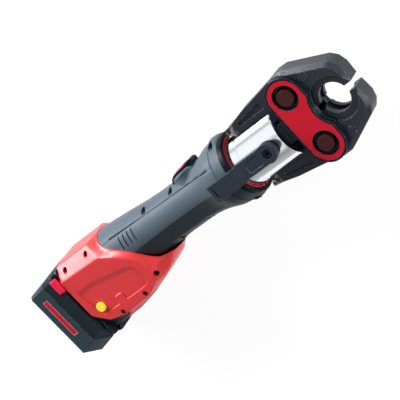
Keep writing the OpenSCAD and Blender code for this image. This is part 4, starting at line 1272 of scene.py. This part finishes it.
# Soft lamps in metres: place, size, share of the key light's power, and pieces that they spare
LAMPS = (
    ("key_panel", (-0.25, 1.75, 0.66), (1.2, 0.6), 1.0, ()),
    ("edge_panel", (-0.95, 1.35, 0.30), (0.9, 0.5), 0.4, ()),
    ("front_panel", (1.3, 0.4, 0.9), (0.6, 0.6), 0.03, ()),
    ("low_panel", (1.5, -0.7, 0.35), (0.9, 0.4), 0.30, ("grip_shell_top", "grip_shell_bottom")),
)
LAMP_AIM = Vector((0.25, 0.0, 0.0))


def build_floor():
    """A pale floor just under the tool."""
    height = CAD_BOX[0][2] / MM - FLOOR_DROP
    form = bmesh.new()
    corners = box((-FLOOR_REACH, -FLOOR_REACH), (FLOOR_REACH, FLOOR_REACH))
    form.faces.new([form.verts.new((x, y, height)) for x, y in corners])
    piece = add_piece("floor", form)
    material, tree, shader = new_material("pale_floor")
    shader.inputs["Base Color"].default_value = FLOOR_COLOUR
    shader.inputs["Roughness"].default_value = FLOOR_ROUGHNESS
    rays = node(tree, "ShaderNodeLightPath").outputs
    seen = math_node(tree, "MAXIMUM", rays["Is Camera Ray"], rays["Is Glossy Ray"])
    seen = math_node(tree, "MAXIMUM", seen, rays["Is Transmission Ray"])
    glow = node(tree, "ShaderNodeEmission", {"Strength": GLOW_STRENGTH})
    mix = node(tree, "ShaderNodeMixShader", {
        0: math_node(tree, "MULTIPLY", seen, GLOW_SHARE), 1: shader, 2: glow})
    feed(tree, tree.nodes["Material Output"].inputs["Surface"], mix)
    piece.data.materials.append(material)


def mirrored_bands(tree):
    """Bright and dim bands along the tool, by the direction round its axis."""
    direction = node(tree, "ShaderNodeTexCoord").outputs["Generated"]
    way = node(tree, "ShaderNodeSeparateXYZ", {0: direction}).outputs
    turn = ranged(tree, math_node(tree, "ARCTAN2", way["Z"], way["Y"]), -math.pi, math.pi)
    bands = node(tree, "ShaderNodeValToRGB", {0: turn})
    marks = bands.color_ramp.elements
    while len(marks) > 1:
        marks.remove(marks[-1])
    for spot, level in WORLD_BANDS:
        marks.new(spot).color = (*(part * level for part in BAND_TINT), 1)
    return node(tree, "ShaderNodeBackground", {"Color": bands})


def build_world():
    """Dim light from all round, bright bands along the tool to mirror, and white for the camera."""
    world = bpy.data.worlds.new("studio")
    world.use_nodes = True
    tree = world.node_tree
    plain = tree.nodes["Background"]
    plain.inputs["Color"].default_value = WORLD_COLOUR
    plain.inputs["Strength"].default_value = WORLD_STRENGTH
    white = node(tree, "ShaderNodeBackground", {"Color": (1, 1, 1, 1)})
    rays = node(tree, "ShaderNodeLightPath").outputs
    mix = node(tree, "ShaderNodeMixShader", {0: rays["Is Glossy Ray"], 1: plain, 2: mirrored_bands(tree)})
    seen = node(tree, "ShaderNodeMixShader", {0: rays["Is Camera Ray"], 1: mix, 2: white})
    feed(tree, tree.nodes["World Output"].inputs["Surface"], seen)
    bpy.context.scene.world = world


def soft_light(name, place, size, power):
    """A rectangular lamp that faces the tool."""
    lamp = bpy.data.lights.new(name, "AREA")
    lamp.shape = "RECTANGLE"
    lamp.size, lamp.size_y = size
    lamp.energy = power
    lit = bpy.data.objects.new(name, lamp)
    bpy.context.scene.collection.objects.link(lit)
    toward = LAMP_AIM - Vector(place)
    lit.matrix_world = Matrix.Translation(place) @ toward.to_track_quat("-Z", "Y").to_matrix().to_4x4()
    return lit


def spare(lamp, *names):
    """Keeps the named pieces out of the lamp's light."""
    spared = bpy.data.collections.new(f"spared_by_{lamp.name}")
    for name in names:
        spared.objects.link(bpy.data.objects[name])
    for entry in spared.collection_objects:
        entry.light_linking.link_state = "EXCLUDE"
    lamp.light_linking.receiver_collection = spared


def build_camera():
    """The camera at the photograph's angle."""
    scene = bpy.context.scene
    settings = scene.stage_settings
    lens = bpy.data.cameras.new("studio_camera")
    lens.lens = settings.lens
    lens.sensor_width = SENSOR_WIDTH
    camera = bpy.data.objects.new("studio_camera", lens)
    camera.location = settings.camera_place
    camera.rotation_euler = settings.camera_turn
    scene.collection.objects.link(camera)
    scene.camera = camera


def build_stage():
    """The floor, the world, the lamps and the camera."""
    scene = bpy.context.scene
    scene.view_settings.view_transform = "Standard"
    build_floor()
    build_world()
    # The chrome mirrors the bands of the world and none of the lamps, which would burn out on it, and the
    # low lamp leaves the grip's shaded side dark
    for name, place, size, share, spared in LAMPS:
        lamp = soft_light(name, place, size, share * scene.stage_settings.key_power)
        spare(lamp, "chrome_fork", *spared)
    build_camera()


# Operators

DONE = {"FINISHED"}


class PRESSTOOL_OT_inner_pieces(bpy.types.Operator):
    """Gives the drive, the ram and the electronics their finishes"""
    bl_idname = "presstool.inner_pieces"
    bl_label = "Inner pieces"

    def execute(self, context):
        finish_inner_pieces()
        return DONE


class PRESSTOOL_OT_grip(bpy.types.Operator):
    """Builds the two halves of the grip's shell"""
    bl_idname = "presstool.grip"
    bl_label = "Grip"

    def execute(self, context):
        build_grip()
        return DONE


class PRESSTOOL_OT_housing(bpy.types.Operator):
    """Builds the two halves of the rear housing, the battery seat and the release button"""
    bl_idname = "presstool.housing"
    bl_label = "Rear housing"

    def execute(self, context):
        build_housing()
        return DONE


class PRESSTOOL_OT_trigger(bpy.types.Operator):
    """Builds the trigger with its red pad"""
    bl_idname = "presstool.trigger"
    bl_label = "Trigger"

    def execute(self, context):
        build_trigger()
        return DONE


class PRESSTOOL_OT_head(bpy.types.Operator):
    """Builds the chrome fork with its bush, seal, bolt and bolt handle"""
    bl_idname = "presstool.head"
    bl_label = "Head"

    def execute(self, context):
        build_head()
        return DONE


class PRESSTOOL_OT_jaw_set(bpy.types.Operator):
    """Builds the jaws with their side plates, labels, pins and clips"""
    bl_idname = "presstool.jaw_set"
    bl_label = "Jaw set"

    def execute(self, context):
        build_jaw_set()
        return DONE


class PRESSTOOL_OT_battery(bpy.types.Operator):
    """Builds the battery pack with its strip and latch keys"""
    bl_idname = "presstool.battery"
    bl_label = "Battery"

    def execute(self, context):
        build_battery()
        return DONE


class PRESSTOOL_OT_screws(bpy.types.Operator):
    """Sets the socket screws of the shells"""
    bl_idname = "presstool.screws"
    bl_label = "Screws"

    def execute(self, context):
        build_screws()
        return DONE


class PRESSTOOL_OT_springs(bpy.types.Operator):
    """Winds the springs"""
    bl_idname = "presstool.springs"
    bl_label = "Springs"

    def execute(self, context):
        build_springs()
        return DONE


class PRESSTOOL_OT_stage(bpy.types.Operator):
    """Sets the floor, the light and the camera"""
    bl_idname = "presstool.stage"
    bl_label = "Stage"

    def execute(self, context):
        build_stage()
        return DONE


OPERATORS = (PRESSTOOL_OT_inner_pieces, PRESSTOOL_OT_grip, PRESSTOOL_OT_housing, PRESSTOOL_OT_trigger,
             PRESSTOOL_OT_head, PRESSTOOL_OT_jaw_set, PRESSTOOL_OT_battery, PRESSTOOL_OT_screws,
             PRESSTOOL_OT_springs, PRESSTOOL_OT_stage)


class PRESSTOOL_PT_sidebar(bpy.types.Panel):
    """Lists the press tool's settings and pieces"""
    bl_label = "Press tool"
    bl_idname = "PRESSTOOL_PT_sidebar"
    bl_space_type = "VIEW_3D"
    bl_region_type = "UI"
    bl_category = "Press tool"

    def draw(self, context):
        for settings in (context.scene.tool_colours, context.scene.tool_sizes, context.scene.stage_settings):
            for key in settings.__annotations__:
                self.layout.prop(settings, key)
        for operator in OPERATORS:
            self.layout.operator(operator.bl_idname)


CLASSES = (ToolColours, ToolSizes, StageSettings, *OPERATORS, PRESSTOOL_PT_sidebar)


def register():
    """Makes the settings, the operators and the panel known to Blender."""
    for cls in CLASSES:
        bpy.utils.register_class(cls)
    bpy.types.Scene.tool_colours = PointerProperty(type=ToolColours)
    bpy.types.Scene.tool_sizes = PointerProperty(type=ToolSizes)
    bpy.types.Scene.stage_settings = PointerProperty(type=StageSettings)


def unregister():
    """Takes out what register put in."""
    del bpy.types.Scene.stage_settings
    del bpy.types.Scene.tool_sizes
    del bpy.types.Scene.tool_colours
    for cls in reversed(CLASSES):
        bpy.utils.unregister_class(cls)


def main():
    """Builds the pieces and the stage in order."""
    register()
    bpy.ops.presstool.inner_pieces()
    bpy.ops.presstool.grip()
    bpy.ops.presstool.housing()
    bpy.ops.presstool.trigger()
    bpy.ops.presstool.head()
    bpy.ops.presstool.jaw_set()
    bpy.ops.presstool.battery()
    bpy.ops.presstool.screws()
    bpy.ops.presstool.springs()
    bpy.ops.presstool.stage()


if __name__ == "__main__":
    main()
